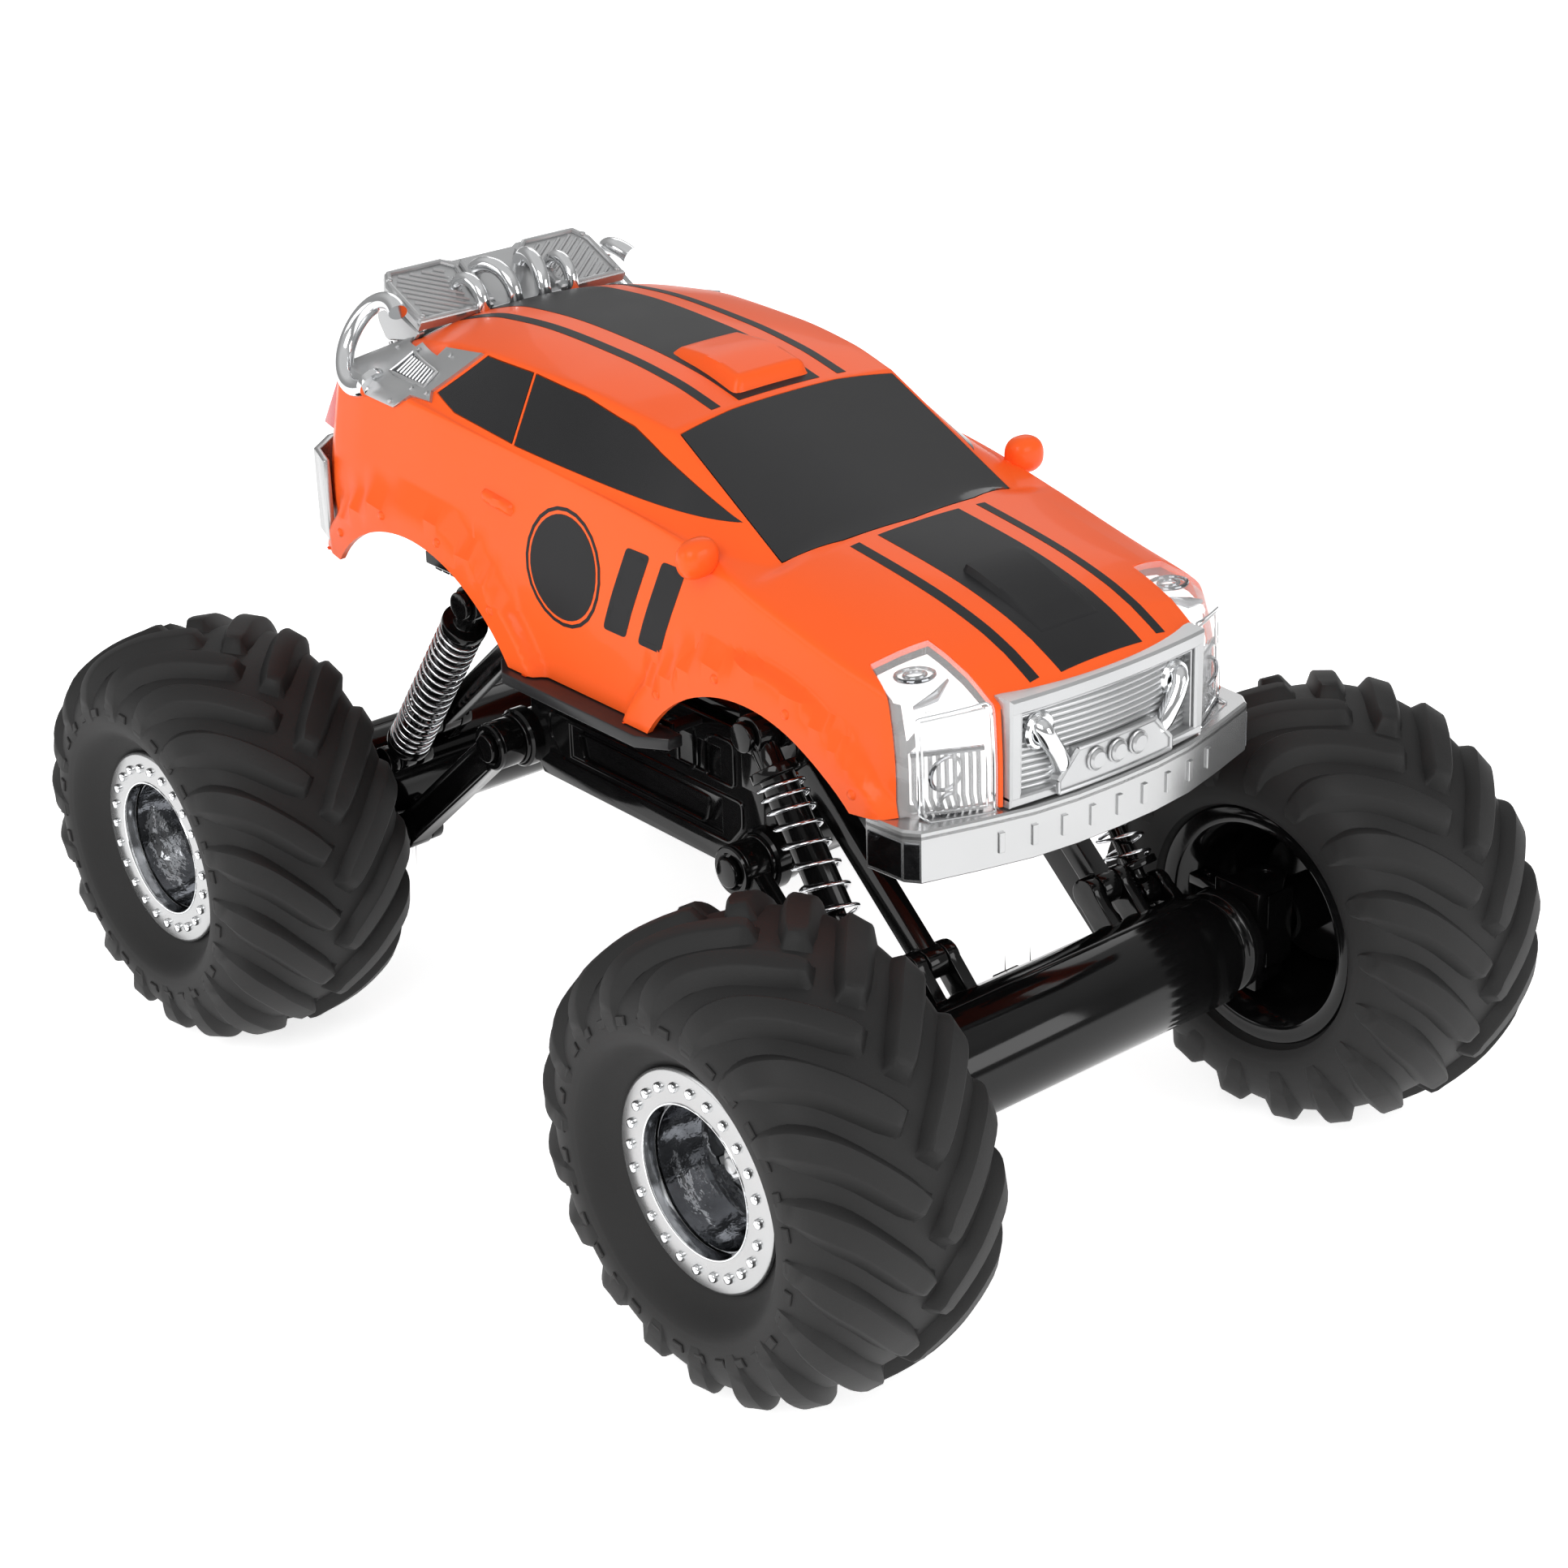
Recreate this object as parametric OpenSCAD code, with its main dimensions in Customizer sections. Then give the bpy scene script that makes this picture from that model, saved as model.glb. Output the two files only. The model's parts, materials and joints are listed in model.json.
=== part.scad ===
// Radio-controlled monster truck: sprung four-link axles, steered front wheels, two-axle drive.
// Millimetres. +Z is up, the nose faces -Y, +X is the vehicle's left side, and the origin is on
// the ground midway between the axles.

/* [Wheels and stance] */
// Distance between the two axles
wheelbase = 220; // [210:1:230]
// Distance between the wheel centre planes, left to right
track = 175.2; // [172:0.2:180]
// Overall diameter of a tyre, tread bars included
tyre_d = 110; // [104:1:114]
// Width of a tyre across its sidewalls
tyre_w = 54.8; // [50:0.2:56]
// Number of tread bars on each half of a tyre
lug_count = 18; // [12:1:22]
// Height of a tread bar above the carcass
lug_h = 3.4; // [2:0.2:4]
// Number of bolts on a bead ring
ring_bolts = 24; // [12:1:30]

/* [Axles] */
// Outer radius of the axle tube
tube_r = 14; // [13.6:0.1:14.4]
// Wall thickness of the axle tube
tube_wall = 1.8; // [1.4:0.1:2.2]
// Teeth on the axle gear
gear_teeth = 16; // [16:1:16]
// Teeth on the motor pinion
pinion_teeth = 8; // [8:1:8]

/* [Suspension] */
// Height of the lower arm's pivot on the chassis
arm_z = 84.5; // [83:0.5:86]
// Distance of the lower arm's pivot from the middle of the truck
arm_y = 48; // [47:0.5:49]
// Drop of each link from chassis to axle
link_drop = 39.5; // [38:0.5:41]
// Reach of each link from chassis to axle
link_reach = 45; // [44:0.5:46]
// Turns of wire in a spring
spring_turns = 9; // [6:1:10]

/* [Body] */
// Wall thickness of the body shell
shell_wall = 2; // [1.6:0.2:2.4]
// Half of the gap between neighbouring trim pieces
trim_gap = 0.15; // [0.1:0.05:0.25]
// Height of the front bumper
bumper_h = 12.5; // [10:0.5:14]

/* [Hidden] */
$fn = 64;
axle_y = -wheelbase / 2;
axle_z = tyre_d / 2;
wheel_x = track / 2;
tyre_r = tyre_d / 2;
arm_x = 42.5;
// Chassis and axle pivots of the front links, as [y, z]
low_in = [-arm_y, arm_z];
low_out = low_in + [-link_reach, -link_drop];
up_in = [-50.4, 112];
up_out = up_in + [-link_reach, -link_drop];
// Top and bottom mounts of the front shock, as [y, z]
shock_top = [-55, 121];
shock_low = [-94.5, 66];
shock_len = norm(shock_low - shock_top);
shock_tilt = atan2(shock_low[0] - shock_top[0], shock_top[1] - shock_low[1]);
pin_r = 2;
run_gap = 0.06;
kingpin_x = 68;
kingpin_r = 1.8;
spindle_r = 3.6;
shaft_r = 1.5;
gear_module = 0.55;
gear_gap = gear_module * (gear_teeth + pinion_teeth) / 2;
motor_r = 4.5;
tie_y = axle_y + 16;
tie_z = 61;
tie_x = 66;
rim_in = 30.4;
bar_slant = 38;
ring_r = 25.5;
dish_r = 17.5;

// ---- Helpers ----

module both_sides() {
    children();
    mirror([1, 0, 0]) children();
}

module rear_end() {
    mirror([0, 1, 0]) children();
}

// A cylinder along X from x0 to x1 at [y, z]
module bar_x(r, x0, x1, at) {
    translate([x0, at[0], at[1]]) rotate([0, 90, 0]) cylinder(r = r, h = x1 - x0);
}

module box(low, high) {
    translate(low) cube(high - low);
}

// A flat link in the YZ plane between two [y, z] points, from x0 to x1
module flat_link(a, b, w, x0, x1) {
    d = b - a;
    translate([x0, a[0], a[1]])
        rotate([atan2(d[1], d[0]), 0, 0])
            translate([0, 0, -w / 2]) cube([x1 - x0, norm(d), w]);
}

// A plan outline (x, y) raised from z0 to z1
module slab(points, z0, z1) {
    translate([0, 0, z0]) linear_extrude(z1 - z0) polygon(points);
}

// A side outline (y, z) carried across from x0 to x1
module side_slab(points, x0, x1) {
    translate([x0, 0, 0]) rotate([90, 0, 90]) linear_extrude(x1 - x0) polygon(points);
}

// Moves a wheel drawn about the origin, outer face towards +X, to a corner of the truck
module at_wheel(left, front) {
    translate([left ? wheel_x : -wheel_x, front ? axle_y : -axle_y, axle_z])
        mirror([left ? 0 : 1, 0, 0]) children();
}

// Turns a profile of [radius, distance outboard] about the wheel's X axis
module wheel_turn(points) {
    rotate([0, 90, 0]) rotate_extrude($fn = 72) polygon(points);
}

// ---- Body outline ----

// Lower body: y, half width low, low z, half width at shoulder, shoulder z, crown z
LOWER = [
    [-124, 24, 121, 24, 143, 145.5], [-120, 33, 121, 31, 144.2, 148], [-112, 47.5, 121, 46, 145, 152],
    [-104, 50.5, 120, 47.5, 147.5, 155], [-88, 52, 118, 48, 150.5, 159], [-64, 52.5, 116, 48, 156, 162.4],
    [-44, 51.5, 115, 47, 161, 164.5], [-20, 50.5, 115, 46.8, 164.5, 166], [10, 50.5, 115, 46.8, 166.5, 168],
    [40, 51.5, 115, 47, 168.5, 170], [66, 53, 117, 47.5, 170.5, 172], [90, 52.5, 121, 47, 171.5, 173.5],
    [104, 50, 123, 45.5, 171.5, 174], [112, 46, 124, 42, 163, 166], [118, 39, 125, 37, 150, 152]
];
// Cabin: y, half width at base, base z, half width at roof edge, edge z, crown z
CABIN = [
    [-64, 36, 158.6, 34, 160, 162], [-40, 44.5, 162, 34.4, 168.5, 171.6], [-17, 46, 164.5, 33.8, 180, 182.4],
    [0, 46.3, 166, 35.2, 183, 186], [20, 46.5, 167.5, 36, 184.6, 188.2], [45, 46.5, 169, 36.2, 185, 189.2],
    [66, 46, 171, 35, 183.4, 188.2], [84, 45, 172, 33.5, 179.6, 184], [104, 42, 171.4, 36, 172.2, 174]
];
cabin_sink = 9;
// Side windows are cut outboard of this distance from the centre plane
window_x = 35.9;

function lower_section(s, inset) =
    let (mid = (s[2] + s[4]) / 2, low = s[2] - inset * 4, side = s[1] - inset, top = s[3] - inset)
    [[-side, low], [side, low], [side + 0.4, mid], [top, s[4] - inset], [top * 0.62, s[4] * 0.3 + s[5] * 0.7 - inset],
     [0, s[5] - inset], [-top * 0.62, s[4] * 0.3 + s[5] * 0.7 - inset], [-top, s[4] - inset], [-side - 0.4, mid]];

function cabin_section(s, inset) =
    let (base = s[1] - inset, edge = s[3] - inset, low = s[2] - cabin_sink, low_w = base - 3)
    [[-low_w, low], [low_w, low], [base, s[2] - inset], [edge, s[4] - inset], [edge * 0.6, s[4] * 0.28 + s[5] * 0.72 - inset],
     [0, s[5] - inset], [-edge * 0.6, s[4] * 0.28 + s[5] * 0.72 - inset], [-edge, s[4] - inset], [-base, s[2] - inset]];

module section_at(points, y) {
    translate([0, y, 0]) rotate([90, 0, 0]) linear_extrude(0.02, center = true) polygon(points);
}

// The closed form of the lower body, its ends pulled in by the inset
module lower_form(inset) {
    last = len(LOWER) - 1;
    for (i = [0 : last - 1])
        hull() {
            section_at(lower_section(LOWER[i], inset), LOWER[i][0] + (i == 0 ? inset : 0));
            section_at(lower_section(LOWER[i + 1], inset), LOWER[i + 1][0] - (i == last - 1 ? inset : 0));
        }
}

module cabin_form(inset, from = 0, to = 8) {
    for (i = [from : to - 1])
        hull() {
            section_at(cabin_section(CABIN[i], inset), CABIN[i][0] + (i == 0 ? inset * 2 : 0));
            section_at(cabin_section(CABIN[i + 1], inset), CABIN[i + 1][0] - (i == 7 ? inset : 0));
        }
}

SIDE_GLASS = [[-43, 166], [-5.6, 180], [14, 183], [32, 184], [51, 184.2], [63.5, 173.5], [54, 171], [30, 169]];
FRONT_GLASS = [[-35, -56], [-20, -59.6], [0, -61], [20, -59.6], [35, -56], [32.4, -17.7], [0, -16.4], [-32.4, -17.7]];
REAR_GLASS = [[-31, 91.5], [31, 91.5], [35, 101], [-35, 101]];
HEADLAMP = [[30.5, -123], [49.5, -116], [50, -112], [44.4, -95.5], [31, -99.5]];
GRILLE_HALF = 30;

module arch_cut(y, z, r) {
    bar_x(r, -70, 70, [y, z]);
}

module body_shell() {
    color("orangered") {
        difference() {
            union() {
                lower_form(0);
                cabin_form(0);
                scoop_form();
            }
            lower_form(shell_wall);
            cabin_form(shell_wall);
            box([-70, -130, 60], [70, 130, 114.9]);
            arch_cut(-65, 88, 46);
            arch_cut(66, 93, 45);
            both_sides() side_slab(SIDE_GLASS, window_x, 60);
            slab(FRONT_GLASS, 158, 200);
            slab(REAR_GLASS, 172, 200);
            both_sides() slab(HEADLAMP, 119, 156);
            box([-GRILLE_HALF, -130, 119], [GRILLE_HALF, -117.5, 142.8]);
        }
    }
}

// Low rounded intake on the roof and the wedge intake on the bonnet
module scoop_form() {
    hull() {
        box([-11, -8, 183], [11, -4, 184.6]);
        box([-10, 4, 185], [10, 10, 188.6]);
        box([-8, 22, 186], [8, 24, 188.8]);
    }
    hull() {
        box([-9, -98, 150], [9, -97, 156.6]);
        box([-7, -74, 150], [7, -73, 162]);
    }
}

module windscreen() {
    color([0.12, 0.12, 0.13]) intersection() {
        difference() {
            cabin_form(0.3, 0, 3);
            cabin_form(shell_wall, 0, 3);
        }
        translate([0, 0, 159]) linear_extrude(40) offset(delta = -trim_gap) polygon(FRONT_GLASS);
    }
}

module side_windows() {
    color([0.1, 0.1, 0.11]) intersection() {
        difference() {
            cabin_form(0.3, 1, 7);
            cabin_form(shell_wall, 1, 7);
        }
        both_sides() translate([window_x, 0, 0]) rotate([90, 0, 90]) linear_extrude(30)
            offset(delta = -trim_gap) polygon(SIDE_GLASS);
    }
}

module rear_window() {
    color([0.1, 0.1, 0.11]) intersection() {
        difference() {
            cabin_form(0.3, 7, 8);
            cabin_form(shell_wall, 7, 8);
        }
        translate([0, 0, 172.2]) linear_extrude(40) offset(delta = -trim_gap) polygon(REAR_GLASS);
    }
}

module headlight_lenses() {
    color([0.9, 0.95, 1]) intersection() {
        difference() {
            lower_form(0.1);
            lower_form(1.4);
        }
        both_sides() translate([0, 0, 120.9]) linear_extrude(34)
            offset(delta = -trim_gap) polygon(HEADLAMP);
    }
}

module headlight_reflectors() {
    color("silver") both_sides() {
        difference() {
            slab([[32, -114], [45, -107.5], [43, -98], [32, -100.5]], 122, 143);
            translate([39, -112, 137]) rotate([90, 0, 15]) cylinder(r = 4.4, h = 6, center = true);
            translate([39, -112, 126.5]) rotate([90, 0, 15]) cylinder(r = 3.2, h = 6, center = true);
        }
        translate([39, -109.5, 137]) sphere(r = 2.4);
    }
}

module grille() {
    color("silver") {
        difference() {
            box([-29.5, -123.4, 121], [29.5, -117.8, 142.6]);
            box([-27, -124, 123], [27, -121.6, 140.8]);
        }
        for (i = [0 : 6]) box([-27.2, -122.9, 124.2 + i * 2.4], [27.2, -121.4, 125.2 + i * 2.4]);
        both_sides() for (z = [127.5, 137.5])
            translate([13 + (z - 127.5) * 0.5, -124.6, z]) rotate([90, 0, 0])
                cylinder(r = 2.4, h = 3.4, center = true);
        both_sides() translate([13, -125.2, 127.5]) rotate([0, 26.6, 0])
            cylinder(r = 1.5, h = 11.2);
        box([-11, -125.6, 122.4], [11, -121.5, 128.6]);
        for (x = [-6.4, 0, 6.4]) translate([x, -125.2, 125.5]) rotate([90, 0, 0]) cylinder(r = 2.2, h = 1.6);
    }
}

module front_bumper() {
    low = 120.6 - bumper_h;
    color([0.85, 0.86, 0.86]) difference() {
        slab([[-53.6, -104], [-52.6, -116.6], [-30, -124], [0, -127], [30, -124], [52.6, -116.6], [53.6, -104],
              [46, -104], [45, -110], [28, -116], [-28, -116], [-45, -110], [-46, -104]], low, 120.6);
        box([-46, -121, low - 1], [46, -100, 117.8]);
    }
}

module rear_bumper() {
    color([0.85, 0.86, 0.86]) {
        slab([[-51, 104], [-47.5, 113.5], [-40, 119.4], [-14, 121.5], [14, 121.5], [40, 119.4], [47.5, 113.5],
              [51, 104], [52.6, 104.6], [48.8, 115], [40.4, 121.6], [14, 123.8], [-14, 123.8], [-40.4, 121.6],
              [-48.8, 115], [-52.6, 104.6]], 126, 148);
        box([-30, 117.6, 135], [30, 121, 139]);
    }
}

module tail_lamps() {
    color("red") both_sides() side_slab([[104, 170], [109.5, 170], [120.6, 152], [114, 150.5]], 36, 41.6);
}

module mirrors() {
    color("orangered") both_sides() {
        hull() {
            translate([50, -45.5, 162.6]) sphere(r = 3, $fn = 24);
            translate([53, -43, 162.4]) sphere(r = 2.4, $fn = 24);
        }
        hull() {
            box([44.5, -46.6, 157.6], [46.5, -43, 160.4]);
            box([48.4, -45.6, 159.6], [50, -43, 162]);
        }
    }
}

module engine_panel() {
    color("silver") side_slab([[86, 183.2], [105.5, 192.4], [107, 191], [107, 188.6], [88, 180]], -32.6, 32.6);
    color("silver") both_sides() box([24, 102.4, 171], [28, 106, 189]);
}

// A bent pipe: half a ring standing across the panel's face
module hoop(x, y, z, r) {
    translate([x, y, z]) rotate([0, 0, 90]) rotate([90, 0, 0])
        rotate_extrude(angle = 180) translate([r, 0]) circle(r = 1.9);
}

module exhaust_hoops() {
    color("white") {
        for (x = [-8.4, -2.8, 2.8, 8.4]) hoop(x, 92, 184.8, abs(x) > 5 ? 6.5 : 8);
        both_sides() translate([41, 98, 176]) rotate([0, 0, 90]) rotate([90, 0, 0])
            rotate_extrude(angle = 200) translate([8, 0]) circle(r = 2.3);
    }
}

module side_vents() {
    color("silver") both_sides() difference() {
        side_slab([[66, 184], [84, 183], [99, 182], [106, 176], [104, 170.6], [80, 168.6], [72, 171], [64.6, 172.4]],
                  38.5, 48.4);
        for (i = [0 : 4]) side_slab([[74 + i * 3, 173.6], [75.6 + i * 3, 173.6], [77.6 + i * 3, 178],
                                     [76 + i * 3, 178]], 47.4, 50);
    }
}

module side_steps() {
    color([0.06, 0.06, 0.06]) both_sides()
        slab([[47, 33], [51, 33], [55.8, 26], [55.8, -26], [51, -33], [47, -33]], 111.6, 114.6);
    color([0.06, 0.06, 0.06]) both_sides() for (y = [-22, 0, 22]) box([33, y - 2, 110.4], [49, y + 2, 112]);
}

// ---- Chassis ----

tub_half = 34;

module chassis_tub() {
    color([0.05, 0.05, 0.05]) {
        difference() {
            union() {
                side_slab([[-42, 76], [42, 76], [46, 82], [46, 113], [-46, 113], [-46, 82]], -tub_half, tub_half);
                both_sides() for (s = [-1, 1]) shock_tower(s);
            }
            box([-tub_half + 2, -40, 78], [tub_half - 2, 40, 120]);
            both_sides() for (i = [-1 : 1]) box([tub_half - 0.8, i * 22 - 8, 98], [tub_half + 1, i * 22 + 8, 106]);
            both_sides() box([tub_half - 0.8, -30, 84], [tub_half + 1, 30, 93]);
            box([-22.2, -32.2, 70], [22.2, 32.2, 79]);
            box([-30.4, 33, 70], [-23.6, 39.5, 79]);
        }
        both_sides() for (s = [-1, 1]) {
            bar_x(6.5, 30, 38.7, [s * arm_y, arm_z]);
            bar_x(4.6, 20, 24.6, [s * up_in[0], up_in[1]]);
            box([20, min(s * 40, s * 52), 106], [24.6, max(s * 40, s * 52), 113]);
        }
    }
}

// Plate that carries the top of a shock, at one end of the tub
module shock_tower(s) {
    side_slab([[s * 40, 100], [s * 40, 126], [s * 52, 128.6], [s * 62, 124], [s * 60, 112], [s * 46, 100]],
              31.4, 35.8);
    bar_x(5.2, 31.4, 38.7, [s * shock_top[0], shock_top[1]]);
}

module chassis_lid() {
    color([0.07, 0.07, 0.07]) {
        box([-31, -39, 113.1], [31, 39, 116.1]);
        box([-19.4, -61, 113.1], [19.4, 61, 116.1]);
        for (s = [-1, 1]) box([-26, s * 74 - 14, 113.1], [26, s * 74 + 14, 116.1]);
        for (x = [-20, 20]) {
            translate([x, -80, 104]) cylinder(r = 4.5, h = 51);
            translate([x, 80, 104]) cylinder(r = 4.5, h = 75);
        }
        for (y = [-80, 80]) box([-20, y - 4, 106], [20, y + 4, 114]);
    }
}

module battery_door() {
    color([0.05, 0.05, 0.05]) {
        box([-22, -32, 76], [22, 32, 77.6]);
        for (i = [-3 : 3]) box([-12, i * 4 - 0.8, 75.4], [12, i * 4 + 0.8, 76.4]);
    }
}

module battery_pack() {
    color("royalblue") for (i = [-1 : 1])
        translate([i * 14.4, 0, 86.2]) rotate([90, 0, 0]) cylinder(r = 7.1, h = 50, center = true);
}

module circuit_board() {
    color("green") box([-24, -28, 98], [24, 28, 99.6]);
    color("dimgray") {
        box([-8, -6, 99.5], [6, 8, 101.5]);
        box([12, -20, 99.5], [20, -8, 106]);
        translate([-16, -18, 99.5]) cylinder(r = 3.2, h = 8);
    }
}

module power_switch() {
    color("dimgray") {
        box([-29.4, 34, 74.6], [-24.6, 37, 78.4]);
        box([-31, 33.4, 78.3], [-23, 37.4, 79.6]);
    }
}

// Shoulder screws on the chassis pivots, and the screws that hold the body on its posts
module chassis_screws() {
    color([0.12, 0.12, 0.12]) {
        both_sides() for (s = [-1, 1]) {
            pivot_screw(34, 47.8, [s * low_in[0], low_in[1]]);
            pivot_screw(22, 32.6, [s * up_in[0], up_in[1]]);
            pivot_screw(34, 47.8, [s * shock_top[0], shock_top[1]]);
        }
        for (x = [-20, 20], y = [-80, 80]) translate([x, y, 103]) {
            cylinder(r = 1.3, h = 22);
            cylinder(r = 2.6, h = 1);
        }
    }
}

module pivot_screw(x0, x1, at) {
    bar_x(pin_r, x0, x1, at);
    bar_x(pin_r + 1.6, x1 - 1.8, x1, at);
}

// ---- Suspension, drawn for the front; the rear is its mirror image ----

module lower_arms() {
    color([0.05, 0.05, 0.05]) both_sides() difference() {
        union() {
            bar_x(6.2, 39, 45.2, low_in);
            bar_x(4.8, 39, 45.2, low_out);
            flat_link(low_in, low_out, 8.4, 39.4, 44.8);
        }
        bar_x(pin_r + run_gap, 38, 46, low_in);
        bar_x(pin_r + run_gap, 38, 46, low_out);
    }
}

module upper_links() {
    color([0.05, 0.05, 0.05]) both_sides() difference() {
        union() {
            bar_x(4, 25, 30.4, up_in);
            bar_x(4, 25, 30.4, up_out);
            flat_link(up_in, up_out, 6, 25.4, 30);
        }
        bar_x(pin_r + run_gap, 24, 31, up_in);
        bar_x(pin_r + 0.6, 24, 31, up_out);
    }
}

// Frame of a shock: local -Z runs from the top mount to the bottom mount
module on_shock() {
    both_sides() translate([arm_x, shock_top[0], shock_top[1]]) rotate([shock_tilt, 0, 0]) children();
}

module shock_cylinders() {
    color([0.05, 0.05, 0.05]) on_shock() difference() {
        union() {
            rotate([0, 90, 0]) cylinder(r = 4.6, h = 6, center = true);
            translate([0, 0, -10]) cylinder(r = 3.2, h = 9);
            translate([0, 0, -11]) cylinder(r = 6, h = 2.4);
            translate([0, 0, -44]) cylinder(r = 4.2, h = 34);
        }
        rotate([0, 90, 0]) cylinder(r = pin_r + run_gap, h = 8, center = true);
        translate([0, 0, -45]) cylinder(r = 2.6, h = 30);
    }
}

module shock_rods() {
    color([0.1, 0.1, 0.1]) on_shock() difference() {
        union() {
            translate([0, 0, -shock_len]) rotate([0, 90, 0]) cylinder(r = 3.6, h = 5, center = true);
            translate([0, 0, -shock_len + 2.6]) cylinder(r = 2.1, h = 40);
            translate([0, 0, -shock_len + 5.6]) cylinder(r = 6, h = 2);
        }
        translate([0, 0, -shock_len]) rotate([0, 90, 0]) cylinder(r = 2.2, h = 8, center = true);
    }
}

spring_r = 5.3;
wire_r = 0.55;
spring_top = -11.8;
low_seat = 7.6;
spring_len = shock_len - low_seat - 2 * wire_r - 0.2 + spring_top;
coil_steps = 14;
wire_sides = 4;

// One closed sweep of a square wire along a helix
module coil() {
    rings = spring_turns * coil_steps;
    points = [for (i = [0 : rings], k = [0 : wire_sides - 1])
        let (a = 360 * i / coil_steps, b = 360 * k / wire_sides, r = spring_r + wire_r * cos(b))
        [r * cos(a), r * sin(a), spring_top - wire_r - spring_len * i / rings + wire_r * sin(b)]];
    sides = [for (i = [0 : rings - 1], k = [0 : wire_sides - 1], half = [0, 1])
        let (j = (k + 1) % wire_sides, n = i * wire_sides)
        half == 0 ? [n + k, n + j, n + wire_sides + j] : [n + k, n + wire_sides + j, n + wire_sides + k]];
    first = [for (k = [wire_sides - 1 : -1 : 0]) k];
    final = [for (k = [0 : wire_sides - 1]) rings * wire_sides + k];
    polyhedron(points, concat(sides, [first], [final]), convexity = 4);
}

module shock_springs() {
    color("silver") on_shock() coil();
}

// ---- Axles ----

// Profile of the axle's outside, as [radius, x]
TUBE_OUT = [[0, -56], [10.6, -56], [12.6, -54.6], [12.6, -51], [11, -50], [11, -49], [tube_r, -46], [tube_r, 46],
            [11, 49], [11, 50], [12.6, 51], [12.6, 54.6], [10.6, 56], [0, 56]];

module axle_tube() {
    translate([0, axle_y, axle_z]) rotate([0, 90, 0]) rotate_extrude() polygon(TUBE_OUT);
}

module axle_bore() {
    bar_x(tube_r - tube_wall, -45, 45, [axle_y, axle_z]);
    bar_x(shaft_r + 0.5, -54, 54, [axle_y, axle_z]);
}

// Ears that hold the links and shocks, on the side of the tube that faces the chassis
module axle_ears() {
    both_sides() {
        for (x = [35, 45.6]) {
            flat_link([axle_y + 4, axle_z - 4], low_out, 8, x, x + 3.2);
            bar_x(4.4, x, x + 3.2, low_out);
            flat_link([axle_y + 4, axle_z + 4], shock_low, 7, x, x + 3.2);
            bar_x(3.9, x, x + 3.2, shock_low);
        }
        for (x = [21.4, 30.8]) {
            flat_link([axle_y + 5, axle_z + 8], up_out, 7, x, x + 3.2);
            bar_x(3.9, x, x + 3.2, up_out);
        }
    }
}

module axle_pins() {
    color("silver") both_sides() {
        bar_x(pin_r, 36, 48.2, low_out);
        bar_x(1.5, 36, 48.2, shock_low);
        bar_x(pin_r, 22, 33.6, up_out);
    }
}

module axle_case(steered) {
    color([0.05, 0.05, 0.05]) difference() {
        union() {
            intersection() {
                axle_tube();
                box([-60, axle_y, 20], [60, axle_y + 40, 90]);
            }
            intersection() {
                axle_tube();
                both_sides() box([46.4, axle_y - 20, 20], [60, axle_y + 20, 90]);
            }
            axle_ears();
            both_sides() if (steered) steering_fork(); else bar_x(8.5, 50, 72.8, [axle_y, axle_z]);
        }
        axle_bore();
        both_sides() if (steered) fork_cut(); else bar_x(shaft_r + run_gap, 53, 90, [axle_y, axle_z]);
    }
}

module steering_fork() {
    bar_x(8.5, 50, 61, [axle_y, axle_z]);
    box([58, axle_y - 7, axle_z - 13], [61, axle_y + 7, axle_z + 13]);
    for (z = [-13, 10]) {
        box([58, axle_y - 5, axle_z + z], [kingpin_x, axle_y + 5, axle_z + z + 3]);
        translate([kingpin_x, axle_y, axle_z + z]) cylinder(r = 5, h = 3);
    }
}

module fork_cut() {
    translate([kingpin_x, axle_y, axle_z - 20]) cylinder(r = kingpin_r + run_gap, h = 40);
    bar_x(5, 53.5, 62, [axle_y, axle_z]);
}

module axle_cover() {
    color([0.05, 0.05, 0.05]) difference() {
        intersection() {
            axle_tube();
            box([-45.9, axle_y - 30, 20], [45.9, axle_y - 0.02, 90]);
        }
        axle_bore();
    }
}

module gear_outline(teeth) {
    r = gear_module * teeth / 2;
    root = r - gear_module * 1.2;
    tip = r + gear_module * 0.8;
    pitch = 360 / teeth;
    polygon([for (i = [0 : teeth - 1], p = [[-0.27, root], [-0.12, tip], [0.12, tip], [0.27, root]])
        [p[1] * cos(pitch * (i + p[0])), p[1] * sin(pitch * (i + p[0]))]]);
}

module axle_shaft(half) {
    color("silver") bar_x(shaft_r, -half, half, [axle_y, axle_z]);
    color("white") translate([2, axle_y, axle_z]) rotate([0, 90, 0]) linear_extrude(4) gear_outline(gear_teeth);
    color("white") bar_x(3, 6, 9, [axle_y, axle_z]);
}

module motor_pinion() {
    half_pitch = 180 / pinion_teeth;
    color("gold") translate([1.6, axle_y, axle_z + gear_gap]) rotate([0, 90, 0]) difference() {
        rotate([0, 0, half_pitch]) linear_extrude(5) gear_outline(pinion_teeth);
        translate([0, 0, -1]) cylinder(r = 0.56, h = 7);
    }
}

module drive_motor() {
    color("silver") {
        bar_x(motor_r, 12, 34, [axle_y, axle_z + gear_gap]);
        bar_x(0.5, 1, 12, [axle_y, axle_z + gear_gap]);
    }
}

module steering_motor() {
    color("silver") {
        bar_x(motor_r, -34, -12, [axle_y, axle_z + gear_gap]);
        bar_x(1.4, -12, -6, [axle_y, axle_z + gear_gap]);
    }
}

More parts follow.
